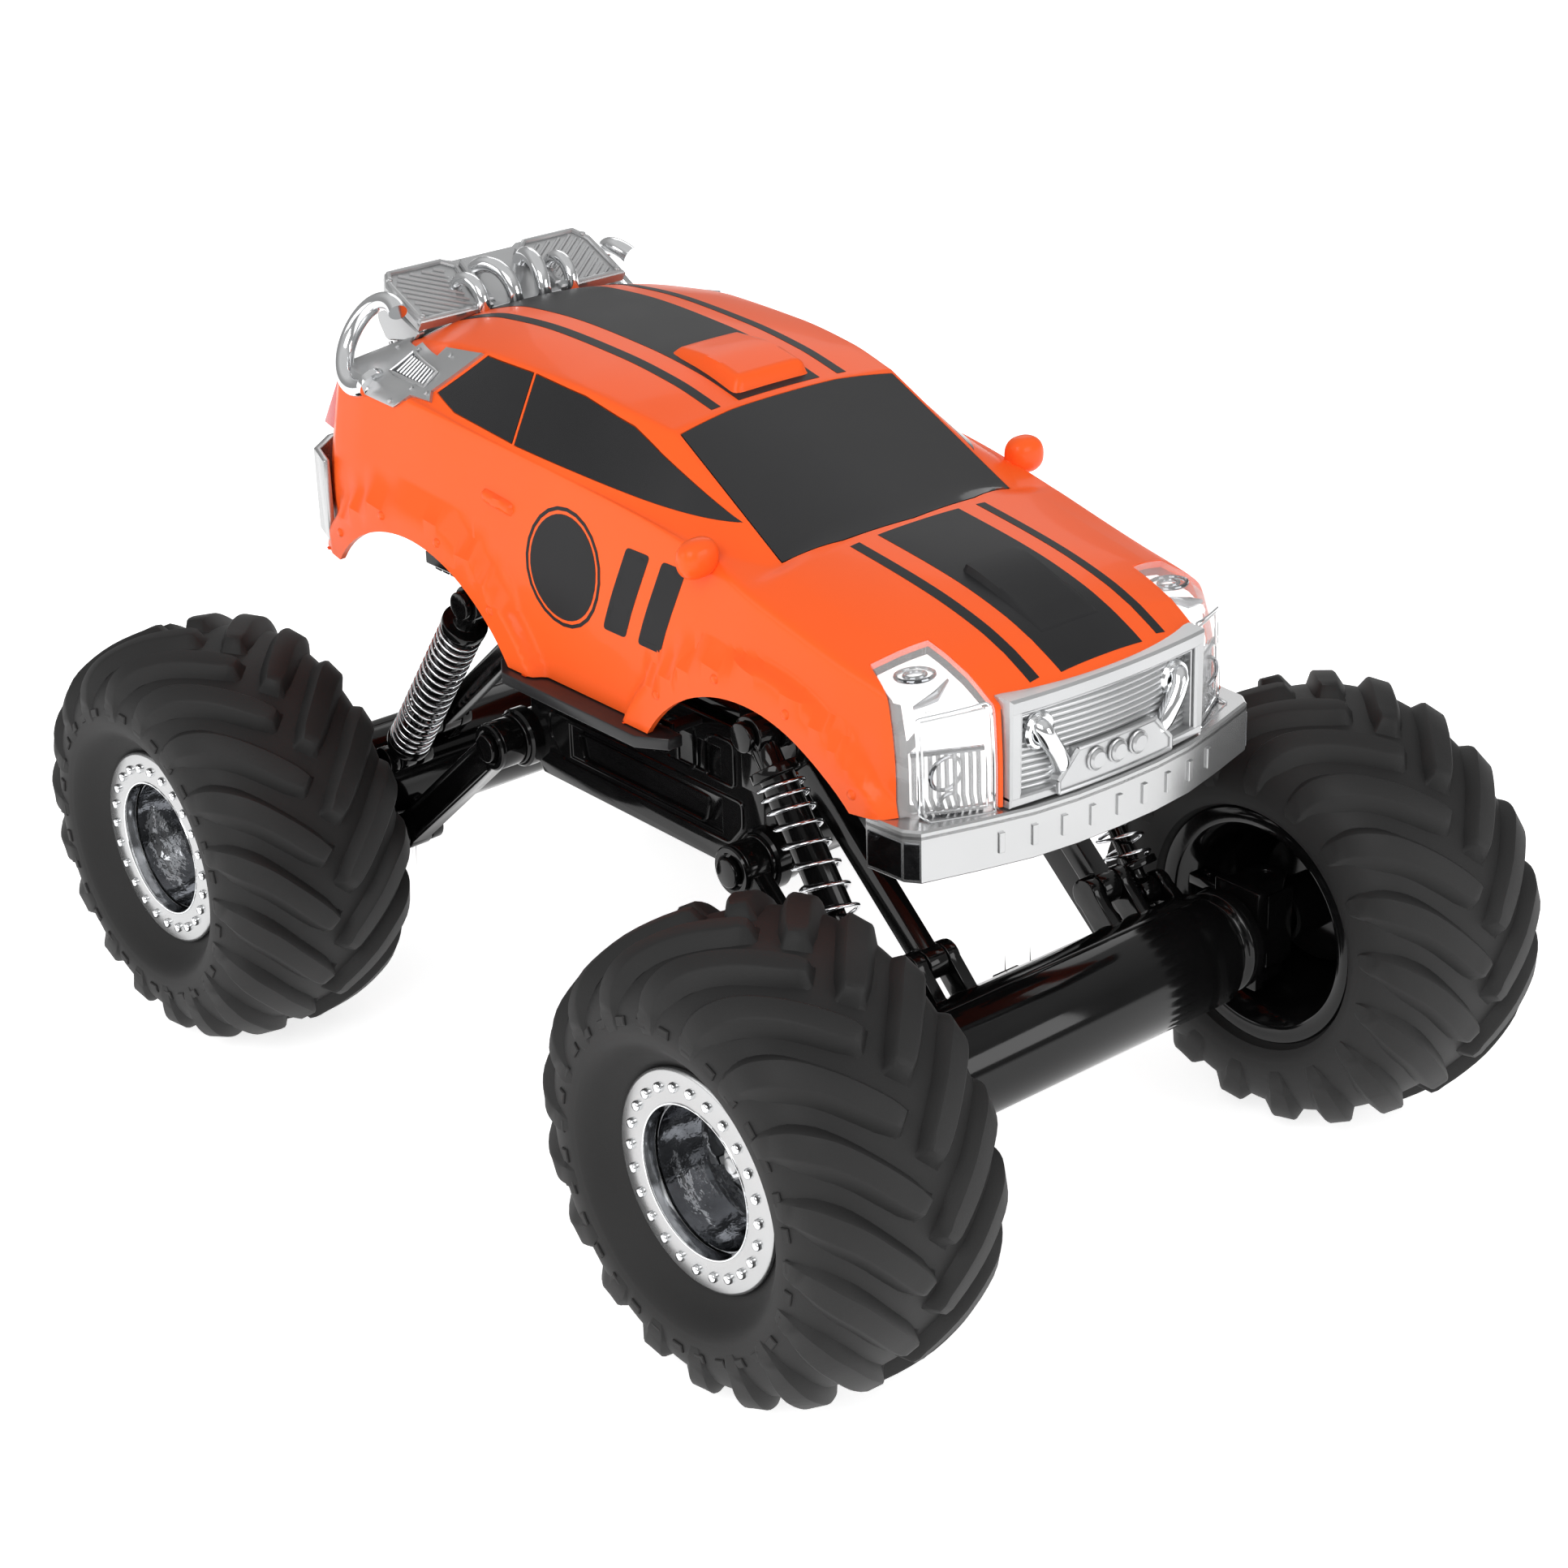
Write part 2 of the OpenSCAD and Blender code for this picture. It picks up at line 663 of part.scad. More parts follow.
// Left knuckle; it turns on the kingpins and carries the wheel's spindle
module knuckle() {
    color([0.05, 0.05, 0.05]) difference() {
        union() {
            box([kingpin_x - 4, axle_y - 5, axle_z - 9.7], [kingpin_x + 4.8, axle_y + 5, axle_z + 9.7]);
            for (z = [-12.6, 9.5]) translate([kingpin_x, axle_y, axle_z + z]) cylinder(r = kingpin_r, h = 3.1);
            bar_x(spindle_r, kingpin_x + 4, 84, [axle_y, axle_z]);
            slab([[tie_x - 2.9, tie_y + 4.2], [tie_x - 2.9, tie_y - 4], [kingpin_x - 3.6, axle_y + 3],
                  [kingpin_x + 4, axle_y + 4], [tie_x + 2.9, tie_y - 4], [tie_x + 2.9, tie_y + 4.2]],
                 tie_z - 1.4, tie_z + 1.4);
        }
        bar_x(shaft_r + run_gap, kingpin_x, 90, [axle_y, axle_z]);
        bar_x(4, kingpin_x - 5, kingpin_x + 3, [axle_y, axle_z]);
        box([tie_x - 1.4, tie_y - 2.7, tie_z - 3], [tie_x + 1.4, tie_y + 2.7, tie_z + 3]);
    }
}

module tie_rod() {
    color([0.08, 0.08, 0.08]) {
        bar_x(1.6, -tie_x - 2, tie_x + 2, [tie_y, tie_z - 4]);
        both_sides() translate([tie_x, tie_y, tie_z - 4.4]) cylinder(r = 1, h = 6.6);
        box([-4, tie_y - 1.6, tie_z - 6], [4, tie_y + 3, tie_z - 2]);
    }
}

// ---- Wheels, drawn about the origin with the outer face towards +X ----

module tyre() {
    half = tyre_w / 2;
    top = tyre_r - lug_h;
    color([0.07, 0.07, 0.07]) {
        difference() {
            wheel_turn([[25.2, 18.9], [29, 21.4], [33, 26], [37, half], [42, half - 0.8], [46, half - 3.4],
                        [49, half - 8], [top - 0.9, half - 16], [top, 0], [top - 0.9, 16 - half], [49, 8 - half],
                        [46, 3.4 - half], [42, 0.8 - half], [38, -half], [34, 1.2 - half], [rim_in + 0.2, 4.4 - half],
                        [25.2, -19]]);
            wheel_turn([[24, 15.5], [31, 19], [36, 23], [42, 21.5], [46, 16], [48, 8], [48, -8], [46, -16],
                        [42, -21.5], [36, -22], [31, -17], [24, -15]]);
        }
        for (i = [0 : lug_count - 1]) {
            rotate([i * 360 / lug_count, 0, 0]) tread_bar(1);
            rotate([(i + 0.5) * 360 / lug_count, 0, 0]) tread_bar(-1);
        }
    }
}

// A slanted bar that hangs from the carcass, one side of the middle plane
module tread_bar(side) {
    mirror([side > 0 ? 0 : 1, 0, 0]) {
        translate([7, 0, 0.4 - tyre_r]) rotate([0, 0, -bar_slant]) translate([-8, -2.3, 0]) cube([17, 4.6, 5]);
        translate([19.4, -8.2, 5.4 - tyre_r]) rotate([0, -42, -12]) translate([-6, -2.3, 0]) cube([12, 4.6, 5]);
    }
}

// The bore is open towards the truck; the dish faces outwards
module rim(bore) {
    color([0.16, 0.16, 0.17]) {
        wheel_turn([[0, -2.6], [bore, -2.6], [bore, -14.4], [7, -14.4], [7, -1], [16.4, -1], [18.2, 15], [22.6, 15],
                    [22.6, -18], [26, -23], [28.6, -23.4], [rim_in, -22.8], [rim_in, -20.6], [25, -19.4], [25, 17],
                    [16.6, 17], [14.6, 1], [6, 1], [6, 7], [0, 7]]);
        rotate([0, 90, 0]) translate([0, 0, 6.5]) cylinder(r = 3.4, h = 3.5, $fn = 6);
        for (i = [0 : 5]) rotate([i * 60, 0, 0]) box([0.6, -1.4, 4.6], [5.4, 1.4, 15]);
    }
}

module front_rim() {
    rim(spindle_r + run_gap);
    color("silver") bar_x(shaft_r, -16, -2, [0, 0]);
}

module rear_rim() {
    rim(shaft_r);
}

module bead_ring() {
    color([0.78, 0.79, 0.8]) {
        wheel_turn([[dish_r, 17.1], [ring_r - 0.4, 17.1], [ring_r - 0.4, 19], [ring_r, 19.2], [ring_r, 20.2],
                    [24.8, 20.6], [18, 20.6], [dish_r, 20.2]]);
        for (i = [0 : ring_bolts - 1]) rotate([i * 360 / ring_bolts, 0, 0])
            bar_x(0.95, 20, 21.6, [0, 21.5]);
    }
}

module lower_arms_front() { lower_arms(); }
module upper_links_front() { upper_links(); }
module axle_case_front() { axle_case(true); }
module axle_cover_front() { axle_cover(); }
module axle_pins_front() { axle_pins(); }
module drive_motor_front() { drive_motor(); }
module motor_pinion_front() { motor_pinion(); }
module axle_shaft_front() { axle_shaft(62); }
module knuckle_left() { knuckle(); }
module knuckle_right() { mirror([1, 0, 0]) knuckle(); }
module shock_cylinders_front() { shock_cylinders(); }
module shock_rods_front() { shock_rods(); }
module shock_springs_front() { shock_springs(); }
module lower_arms_rear() { rear_end() lower_arms(); }
module upper_links_rear() { rear_end() upper_links(); }
module axle_case_rear() { rear_end() axle_case(false); }
module axle_cover_rear() { rear_end() axle_cover(); }
module axle_pins_rear() { rear_end() axle_pins(); }
module drive_motor_rear() { rear_end() drive_motor(); }
module motor_pinion_rear() { rear_end() motor_pinion(); }
module axle_shaft_rear() { rear_end() axle_shaft(wheel_x - 2.6); }
module shock_cylinders_rear() { rear_end() shock_cylinders(); }
module shock_rods_rear() { rear_end() shock_rods(); }
module shock_springs_rear() { rear_end() shock_springs(); }
module tyre_front_left() { at_wheel(true, true) tyre(); }
module tyre_front_right() { at_wheel(false, true) tyre(); }
module tyre_rear_left() { at_wheel(true, false) tyre(); }
module tyre_rear_right() { at_wheel(false, false) tyre(); }
module rim_front_left() { at_wheel(true, true) front_rim(); }
module rim_front_right() { at_wheel(false, true) front_rim(); }
module rim_rear_left() { at_wheel(true, false) rear_rim(); }
module rim_rear_right() { at_wheel(false, false) rear_rim(); }
module bead_ring_front_left() { at_wheel(true, true) bead_ring(); }
module bead_ring_front_right() { at_wheel(false, true) bead_ring(); }
module bead_ring_rear_left() { at_wheel(true, false) bead_ring(); }
module bead_ring_rear_right() { at_wheel(false, false) bead_ring(); }

chassis_tub();
chassis_lid();
body_shell();
windscreen();
side_windows();
rear_window();
headlight_lenses();
headlight_reflectors();
grille();
front_bumper();
rear_bumper();
tail_lamps();
mirrors();
engine_panel();
exhaust_hoops();
side_vents();
side_steps();
battery_door();
battery_pack();
circuit_board();
chassis_screws();
power_switch();
lower_arms_front();
upper_links_front();
axle_case_front();
axle_cover_front();
axle_pins_front();
drive_motor_front();
motor_pinion_front();
axle_shaft_front();
knuckle_left();
knuckle_right();
tie_rod();
steering_motor();
shock_cylinders_front();
shock_rods_front();
shock_springs_front();
lower_arms_rear();
upper_links_rear();
axle_case_rear();
axle_cover_rear();
axle_pins_rear();
drive_motor_rear();
motor_pinion_rear();
axle_shaft_rear();
shock_cylinders_rear();
shock_rods_rear();
shock_springs_rear();
tyre_front_left();
tyre_front_right();
tyre_rear_left();
tyre_rear_right();
rim_front_left();
rim_front_right();
rim_rear_left();
rim_rear_right();
bead_ring_front_left();
bead_ring_front_right();
bead_ring_rear_left();
bead_ring_rear_right();
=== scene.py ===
import json
import math

import bmesh
import bpy
import numpy as np
from mathutils import Matrix, Vector
from mathutils.bvhtree import BVHTree

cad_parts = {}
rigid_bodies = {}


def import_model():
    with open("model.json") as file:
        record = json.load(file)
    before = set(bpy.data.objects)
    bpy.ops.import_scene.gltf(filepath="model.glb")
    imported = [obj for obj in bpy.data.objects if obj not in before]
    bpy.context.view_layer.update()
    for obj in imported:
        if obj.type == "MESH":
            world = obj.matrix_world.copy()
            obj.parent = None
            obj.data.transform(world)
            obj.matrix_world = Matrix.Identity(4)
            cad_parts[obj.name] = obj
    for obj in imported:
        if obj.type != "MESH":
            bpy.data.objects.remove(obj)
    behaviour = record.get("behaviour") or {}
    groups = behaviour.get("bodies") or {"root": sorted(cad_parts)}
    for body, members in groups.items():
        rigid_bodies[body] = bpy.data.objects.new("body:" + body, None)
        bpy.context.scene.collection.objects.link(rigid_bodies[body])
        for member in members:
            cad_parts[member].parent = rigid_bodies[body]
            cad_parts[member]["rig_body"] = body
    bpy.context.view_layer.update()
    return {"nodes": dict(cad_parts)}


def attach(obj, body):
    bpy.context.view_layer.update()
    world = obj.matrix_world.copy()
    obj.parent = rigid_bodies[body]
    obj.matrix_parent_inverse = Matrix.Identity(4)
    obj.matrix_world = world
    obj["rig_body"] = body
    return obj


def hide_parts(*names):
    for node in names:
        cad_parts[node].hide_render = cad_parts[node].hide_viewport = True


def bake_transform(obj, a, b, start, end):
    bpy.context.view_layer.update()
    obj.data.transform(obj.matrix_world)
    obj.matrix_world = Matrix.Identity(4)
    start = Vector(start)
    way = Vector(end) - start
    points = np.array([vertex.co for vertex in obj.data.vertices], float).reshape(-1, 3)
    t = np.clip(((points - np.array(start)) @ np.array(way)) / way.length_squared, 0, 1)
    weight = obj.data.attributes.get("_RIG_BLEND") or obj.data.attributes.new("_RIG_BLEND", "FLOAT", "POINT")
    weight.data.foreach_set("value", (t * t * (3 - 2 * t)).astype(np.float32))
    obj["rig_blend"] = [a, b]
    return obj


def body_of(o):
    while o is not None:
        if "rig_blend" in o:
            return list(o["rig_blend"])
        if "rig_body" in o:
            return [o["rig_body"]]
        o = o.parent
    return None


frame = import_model()
MM = 0.001
SIDES = (1, -1)


# ---- Camera, light and floor ----

def make_camera():
    cam = bpy.data.cameras.new("view_camera")
    cam.lens = 74.96
    cam.sensor_width = 36
    cam.clip_start = 0.05
    cam.clip_end = 20
    obj = bpy.data.objects.new("view_camera", cam)
    obj.location = (-0.4658, -0.5775, 0.4188)
    obj.rotation_euler = [math.radians(a) for a in (65.174, 1.459, -40.160)]
    bpy.context.collection.objects.link(obj)
    bpy.context.scene.camera = obj


def area_light(name, place, target, size, power, tint=(1, 1, 1)):
    light = bpy.data.lights.new(name, "AREA")
    light.shape = "RECTANGLE"
    light.size, light.size_y = size
    light.energy = power
    light.color = tint
    obj = bpy.data.objects.new(name, light)
    obj.location = place
    obj.rotation_euler = (Vector(target) - Vector(place)).to_track_quat("-Z", "Y").to_euler()
    bpy.context.collection.objects.link(obj)


def make_light():
    """A studio: bright overhead, dark towards the horizon, with soft boxes round the truck."""
    scene = bpy.context.scene
    world = bpy.data.worlds.new("studio")
    scene.world = world
    world.use_nodes = True
    t = world.node_tree
    back = t.nodes["Background"]
    back.inputs["Strength"].default_value = 1.0
    place = t.nodes.new("ShaderNodeTexCoord")
    split = t.nodes.new("ShaderNodeSeparateXYZ")
    t.links.new(place.outputs["Generated"], split.inputs["Vector"])
    ramp = t.nodes.new("ShaderNodeValToRGB")
    steps = ((0.0, 0.75), (0.02, 0.3), (0.4, 0.35), (0.75, 0.62), (1.0, 0.6))
    ramp.color_ramp.elements[0].position, ramp.color_ramp.elements[1].position = steps[0][0], steps[-1][0]
    for position, _ in steps[1:-1]:
        ramp.color_ramp.elements.new(position)
    for element, (_, level) in zip(ramp.color_ramp.elements, steps):
        element.color = (level, level, level, 1)
    t.links.new(split.outputs["Z"], ramp.inputs["Fac"])
    t.links.new(ramp.outputs["Color"], back.inputs["Color"])
    area_light("key", (-1.0, -0.7, 1.0), (0, 0, 0.12), (0.9, 0.7), 9)
    area_light("fill", (-1.1, 0.5, 0.5), (0, 0, 0.12), (0.7, 0.5), 2)
    area_light("front", (0.4, -1.2, 0.5), (0, 0, 0.12), (0.7, 0.5), 4)
    area_light("rear", (0.9, 0.9, 0.9), (0, 0, 0.12), (0.9, 0.7), 2)
    scene.view_settings.view_transform = "Standard"
    scene.view_settings.look = "None"
    scene.view_settings.exposure = 0
    scene.view_settings.gamma = 1


# ---- Materials ----

def node_of(tree, kind, **values):
    n = tree.nodes.new(kind)
    for key, value in values.items():
        setattr(n, key, value)
    return n


def finish_material(name, colour, rough, metal=0.0, coat=0.0, vary=0.12, rough_vary=0.06, grain=900.0, bump=0.02,
                    patch=40.0, depth=0.00008, wear=0.0, wear_colour=(0.4, 0.4, 0.4), specular=0.5,
                    stretch=(1, 1, 1)):
    """A principled surface: patchy colour, roughness that follows it, a fine moulded grain and an optional lighter tint
    on sharp convex edges.
    """
    m = bpy.data.materials.new(name)
    m.use_nodes = True
    t = m.node_tree
    shader = t.nodes["Principled BSDF"]
    shader.inputs["Metallic"].default_value = metal
    shader.inputs["Coat Weight"].default_value = coat
    shader.inputs["Coat Roughness"].default_value = 0.06
    shader.inputs["Specular IOR Level"].default_value = specular
    place = node_of(t, "ShaderNodeTexCoord")
    spread = node_of(t, "ShaderNodeMapping")
    spread.inputs["Scale"].default_value = stretch
    t.links.new(place.outputs["Object"], spread.inputs["Vector"])
    broad = node_of(t, "ShaderNodeTexNoise")
    broad.inputs["Scale"].default_value = patch
    broad.inputs["Detail"].default_value = 4
    t.links.new(spread.outputs["Vector"], broad.inputs["Vector"])
    ramp = node_of(t, "ShaderNodeValToRGB")
    low = [c * (1 - vary) for c in colour]
    high = [min(1.0, c * (1 + vary)) for c in colour]
    ramp.color_ramp.elements[0].position = 0.3
    ramp.color_ramp.elements[1].position = 0.7
    ramp.color_ramp.elements[0].color = (*low, 1)
    ramp.color_ramp.elements[1].color = (*high, 1)
    t.links.new(broad.outputs["Fac"], ramp.inputs["Fac"])
    tone = ramp.outputs["Color"]
    # A lighter tint on sharp convex edges, masked by pointiness.
    if wear:
        shape = node_of(t, "ShaderNodeNewGeometry")
        edge = node_of(t, "ShaderNodeMapRange")
        edge.inputs["From Min"].default_value = 0.54
        edge.inputs["From Max"].default_value = 0.68
        edge.inputs["To Max"].default_value = wear
        t.links.new(shape.outputs["Pointiness"], edge.inputs["Value"])
        mix = node_of(t, "ShaderNodeMix", data_type="RGBA")
        mix.inputs["B"].default_value = (*wear_colour, 1)
        t.links.new(edge.outputs["Result"], mix.inputs["Factor"])
        t.links.new(tone, mix.inputs["A"])
        tone = mix.outputs["Result"]
    t.links.new(tone, shader.inputs["Base Color"])
    dull = node_of(t, "ShaderNodeMapRange")
    dull.inputs["To Min"].default_value = max(0.02, rough - rough_vary)
    dull.inputs["To Max"].default_value = min(1.0, rough + rough_vary)
    t.links.new(broad.outputs["Fac"], dull.inputs["Value"])
    t.links.new(dull.outputs["Result"], shader.inputs["Roughness"])
    fine = node_of(t, "ShaderNodeTexNoise")
    fine.inputs["Scale"].default_value = grain
    fine.inputs["Detail"].default_value = 3
    t.links.new(spread.outputs["Vector"], fine.inputs["Vector"])
    relief = node_of(t, "ShaderNodeBump")
    relief.inputs["Strength"].default_value = bump
    relief.inputs["Distance"].default_value = depth
    t.links.new(fine.outputs["Fac"], relief.inputs["Height"])
    t.links.new(relief.outputs["Normal"], shader.inputs["Normal"])
    return m


def clear_material(name, tint, rough):
    """A clear plastic: mostly see-through, with a fine prism pattern in its surface."""
    m = finish_material(name, tint, rough, vary=0.03, rough_vary=0.02, grain=2600, bump=0.1, depth=0.0001)
    shader = m.node_tree.nodes["Principled BSDF"]
    shader.inputs["Alpha"].default_value = 0.2
    return m


def glowing_bowl_material():
    """The bowl behind the headlight lens, with a painted glow: it emits a little light, though it is no lamp, so it
    reads as bright plating.
    """
    m = finish_material("lamp_bowl_painted_glow", (0.93, 0.93, 0.93), 0.22, metal=0.35, vary=0.04, grain=1800, bump=0.05, coat=0.3)
    shader = m.node_tree.nodes["Principled BSDF"]
    # Painted glow: this emission stands in for the bright highlight on the plating.
    shader.inputs["Emission Color"].default_value = (1, 1, 1, 1)
    shader.inputs["Emission Strength"].default_value = 1.0
    return m


def make_materials():
    f = finish_material
    return {
        "orange": f("orange_shell", (0.98, 0.118, 0.018), 0.34, coat=0.12, vary=0.04, grain=1400, bump=0.03, patch=14,
                    specular=0.12),
        "stripe": f("stripe_black", (0.021, 0.021, 0.022), 0.42, vary=0.1, grain=1800, bump=0.05, specular=0.14),
        "glass": f("smoked_glass", (0.016, 0.016, 0.017), 0.08, vary=0.15, grain=400, bump=0.01, patch=22,
                   specular=0.5),
        "clear": clear_material("clear_lens", (0.95, 0.95, 0.95), 0.06),
        "chrome": f("chrome_trim", (0.83, 0.84, 0.85), 0.1, metal=1.0, vary=0.04, rough_vary=0.04, bump=0.02),
        "silver": f("satin_silver", (0.5, 0.505, 0.51), 0.3, metal=0.75, vary=0.05, grain=2200, bump=0.08),
        "pale": f("pale_silver", (0.5, 0.503, 0.506), 0.26, metal=0.9, vary=0.04, grain=2200, bump=0.03),
        # The headlight bowl, whose material has a painted glow.
        "lamp": glowing_bowl_material(),
        "dark_chrome": f("dark_chrome", (0.2, 0.205, 0.215), 0.07, metal=1.0, vary=0.35, patch=120, grain=330,
                         bump=0.55, depth=0.0003),
        "red": f("red_lens", (0.62, 0.02, 0.015), 0.12, coat=0.6, vary=0.12, grain=3000, bump=0.12),
        "gloss": f("gloss_black", (0.003, 0.003, 0.0031), 0.1, vary=0.3, grain=700, bump=0.02, patch=60,
                   specular=0.32, rough_vary=0.04),
        "satin": f("satin_black", (0.015, 0.015, 0.016), 0.36, vary=0.2, grain=2400, bump=0.12),
        # The rubber is tinted a little lighter on its sharp convex edges.
        "rubber": f("tyre_rubber", (0.0155, 0.0152, 0.0152), 0.62, vary=0.14, rough_vary=0.1, grain=2600, bump=0.25,
                    depth=0.00012, patch=26, wear=0.3, wear_colour=(0.05, 0.048, 0.047), specular=0.3),
        "wire": f("spring_wire", (0.72, 0.73, 0.75), 0.16, metal=1.0, vary=0.05, bump=0.02),
        "steel": f("steel", (0.5, 0.5, 0.51), 0.3, metal=1.0, vary=0.08, grain=1600, bump=0.1, stretch=(1, 8, 1)),
        "can": f("motor_can", (0.42, 0.43, 0.44), 0.32, metal=1.0, vary=0.1, grain=900, bump=0.1, stretch=(6, 1, 1)),
        "brass": f("brass", (0.72, 0.48, 0.18), 0.28, metal=1.0, vary=0.1, bump=0.05),
        "board": f("board", (0.02, 0.13, 0.05), 0.4, vary=0.3, patch=220, bump=0.2),
        "wrap": f("cell_wrap", (0.05, 0.14, 0.32), 0.28, vary=0.15, patch=60, coat=0.3),
        "floor": f("studio_floor", (0.9, 0.9, 0.9), 0.75, vary=0.012, patch=5, grain=120, bump=0.02),
    }


MAT = make_materials()
make_camera()
make_light()


# ---- Mesh helpers (all shapes below are in millimetres) ----

def new_piece(name, points, faces, mats, face_mats=None, sharp=35.0):
    mesh = bpy.data.meshes.new(name)
    mesh.from_pydata([tuple(c * MM for c in p) for p in points], [], [tuple(int(i) for i in f) for f in faces])
    for m in mats:
        mesh.materials.append(MAT[m])
    mesh.polygons.foreach_set("use_smooth", [True] * len(mesh.polygons))
    if face_mats is not None:
        mesh.polygons.foreach_set("material_index", list(face_mats))
    mesh.update()
    mesh.set_sharp_from_angle(angle=math.radians(sharp))
    obj = bpy.data.objects.new(name, mesh)
    bpy.context.collection.objects.link(obj)
    return obj


def place(obj, body, slot, *nodes):
    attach(obj, body)
    if nodes:
        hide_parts(*nodes)
    return obj


def on_chassis(name, parts, look, slot, *nodes, sharp=35.0):
    """Joins parts into one piece of one material that rides on the chassis."""
    return place(new_piece(name, *joined(parts), [look], sharp=sharp), "chassis", slot, *nodes)


def joined(parts):
    """Points and faces of several (points, faces) pairs as one pair."""
    points, faces = [], []
    for p, f in parts:
        start = len(points)
        points.extend(tuple(q) for q in p)
        faces.extend(tuple(i + start for i in g) for g in f)
    return points, faces


def moved(part, matrix):
    points, faces = part
    flip = matrix.determinant() < 0
    return [tuple(matrix @ Vector(p)) for p in points], [tuple(reversed(f)) if flip else f for f in faces]


def mirrored(part):
    return moved(part, Matrix.Scale(-1, 4, (1, 0, 0)))


def both(part):
    return joined([part, mirrored(part)])


def grid_faces(rows, cols, close_cols=False, close_rows=False):
    faces = []
    for i in range(rows if close_rows else rows - 1):
        for j in range(cols if close_cols else cols - 1):
            a, b = i * cols + j, i * cols + (j + 1) % cols
            c, d = ((i + 1) % rows) * cols + (j + 1) % cols, ((i + 1) % rows) * cols + j
            faces.append((a, b, c, d))
    return faces


def catmull(points, steps, closed=False):
    """A smooth curve through the points, steps samples to each span."""
    p = np.array(points, float)
    n = len(p)
    out = []
    for i in range(n if closed else n - 1):
        p1, p2 = p[i], p[(i + 1) % n]
        p0 = p[i - 1] if closed or i > 0 else 2 * p1 - p2
        p3 = p[(i + 2) % n] if closed or i + 2 < n else 2 * p2 - p1
        for k in range(steps):
            t = k / steps
            out.append(0.5 * (2 * p1 + (p2 - p0) * t + (2 * p0 - 5 * p1 + 4 * p2 - p3) * t * t
                              + (3 * p1 - p0 - 3 * p2 + p3) * t ** 3))
    if not closed:
        out.append(p[-1])
    return np.array(out)


def circle(cy, cz, r, count=24):
    return [(cy + r * math.cos(a), cz + r * math.sin(a)) for a in np.linspace(0, 2 * math.pi, count + 1)[:-1]]


def rounded(points, radius, steps=3, closed=True):
    """A 2-D outline with its corners rounded. radius is one number or one to a corner."""
    p = [np.array(q, float) for q in points]
    n = len(p)
    radii = radius if isinstance(radius, (list, tuple)) else [radius] * n
    out = []
    for i in range(n):
        if not closed and i in (0, n - 1):
            out.append(p[i])
            continue
        a, b, c = p[i - 1], p[i], p[(i + 1) % n]
        u, v = a - b, c - b
        lu, lv = np.linalg.norm(u), np.linalg.norm(v)
        r = min(radii[i], lu * 0.45, lv * 0.45)
        if r < 1e-3:
            out.append(b)
            continue
        s, e = b + u / lu * r, b + v / lv * r
        for k in range(steps + 1):
            t = k / steps
            out.append((1 - t) ** 2 * s + 2 * t * (1 - t) * b + t * t * e)
    return np.array(out)


def turned(profile, sides=96):
    """A closed profile of (radius, x) turned about the X axis."""
    rows = []
    for k in range(sides):
        a = 2 * math.pi * k / sides
        rows.extend((x, -r * math.sin(a), r * math.cos(a)) for r, x in profile)
    return rows, grid_faces(sides, len(profile), close_cols=True, close_rows=True)


def prism(outline, low, high, bevel=0.4, axis="z"):
    """An outline pushed from low to high along an axis, with bevelled rims."""
    p = np.array(outline, float)
    n = len(p)
    area = 0.5 * sum(p[i][0] * p[(i + 1) % n][1] - p[(i + 1) % n][0] * p[i][1] for i in range(n))
    if area < 0:
        p = p[::-1]
    inner = inset(p, bevel)
    rings = [(inner, low), (p, low + bevel), (p, high - bevel), (inner, high)] if bevel else [(p, low), (p, high)]
    points = []
    for ring, level in rings:
        for a, b in ring:
            points.append({"z": (a, b, level), "x": (level, a, b), "y": (a, level, b)}[axis])
    rows = len(rings)
    faces = grid_faces(rows, n, close_cols=True)
    faces.append(tuple(reversed(range(n))))
    faces.append(tuple(range((rows - 1) * n, rows * n)))
    if axis == "y":
        faces = [tuple(reversed(f)) for f in faces]
    return points, faces


def inset(p, d):
    n = len(p)
    out = []
    for i in range(n):
        a, b, c = p[i - 1], p[i], p[(i + 1) % n]
        u, v = b - a, c - b
        u, v = u / (np.linalg.norm(u) or 1), v / (np.linalg.norm(v) or 1)
        nu, nv = np.array([-u[1], u[0]]), np.array([-v[1], v[0]])
        m = nu + nv
        k = max(0.35, m @ nu)
        out.append(b + m / k * d)
    return np.array(out)


def swept(path, radius, sides=10, closed=False, flat=1.0):
    """A tube along a path. radius is one number or one to a point."""
    p = np.array(path, float)
    n = len(p)
    radii = np.full(n, radius) if np.isscalar(radius) else np.array(radius, float)
    points = []
    up = None
    for i in range(n):
        if closed:
            t = p[(i + 1) % n] - p[i - 1]
        else:
            t = p[min(i + 1, n - 1)] - p[max(i - 1, 0)]
        t = t / np.linalg.norm(t)
        if up is None:
            ref = np.array([0, 0, 1.0]) if abs(t[2]) < 0.9 else np.array([1.0, 0, 0])
            up = np.cross(t, ref)
        up = up - t * (up @ t)
        up /= np.linalg.norm(up)
        side = np.cross(t, up)
        for k in range(sides):
            a = 2 * math.pi * k / sides
            points.append(p[i] + radii[i] * (math.cos(a) * up * flat + math.sin(a) * side))
    faces = grid_faces(n, sides, close_cols=True, close_rows=closed)
    faces = [tuple(reversed(f)) for f in faces]
    if not closed:
        faces.append(tuple(range(sides)))
        faces.append(tuple(reversed(range((n - 1) * sides, n * sides))))
    return [tuple(q) for q in points], faces


def knob(radius, x0, x1, sides=24, dome=0.3, taper=0.0):
    """A short round boss along X with a rounded outer rim."""
    s = 1 if x1 > x0 else -1
    r2 = radius - taper
    return turned_open([(0.0, x0), (radius, x0), (r2, x1 - s * dome), (r2 - dome * 0.4, x1 - s * dome * 0.3),
                        (r2 - dome, x1), (0.0, x1)], sides, s)


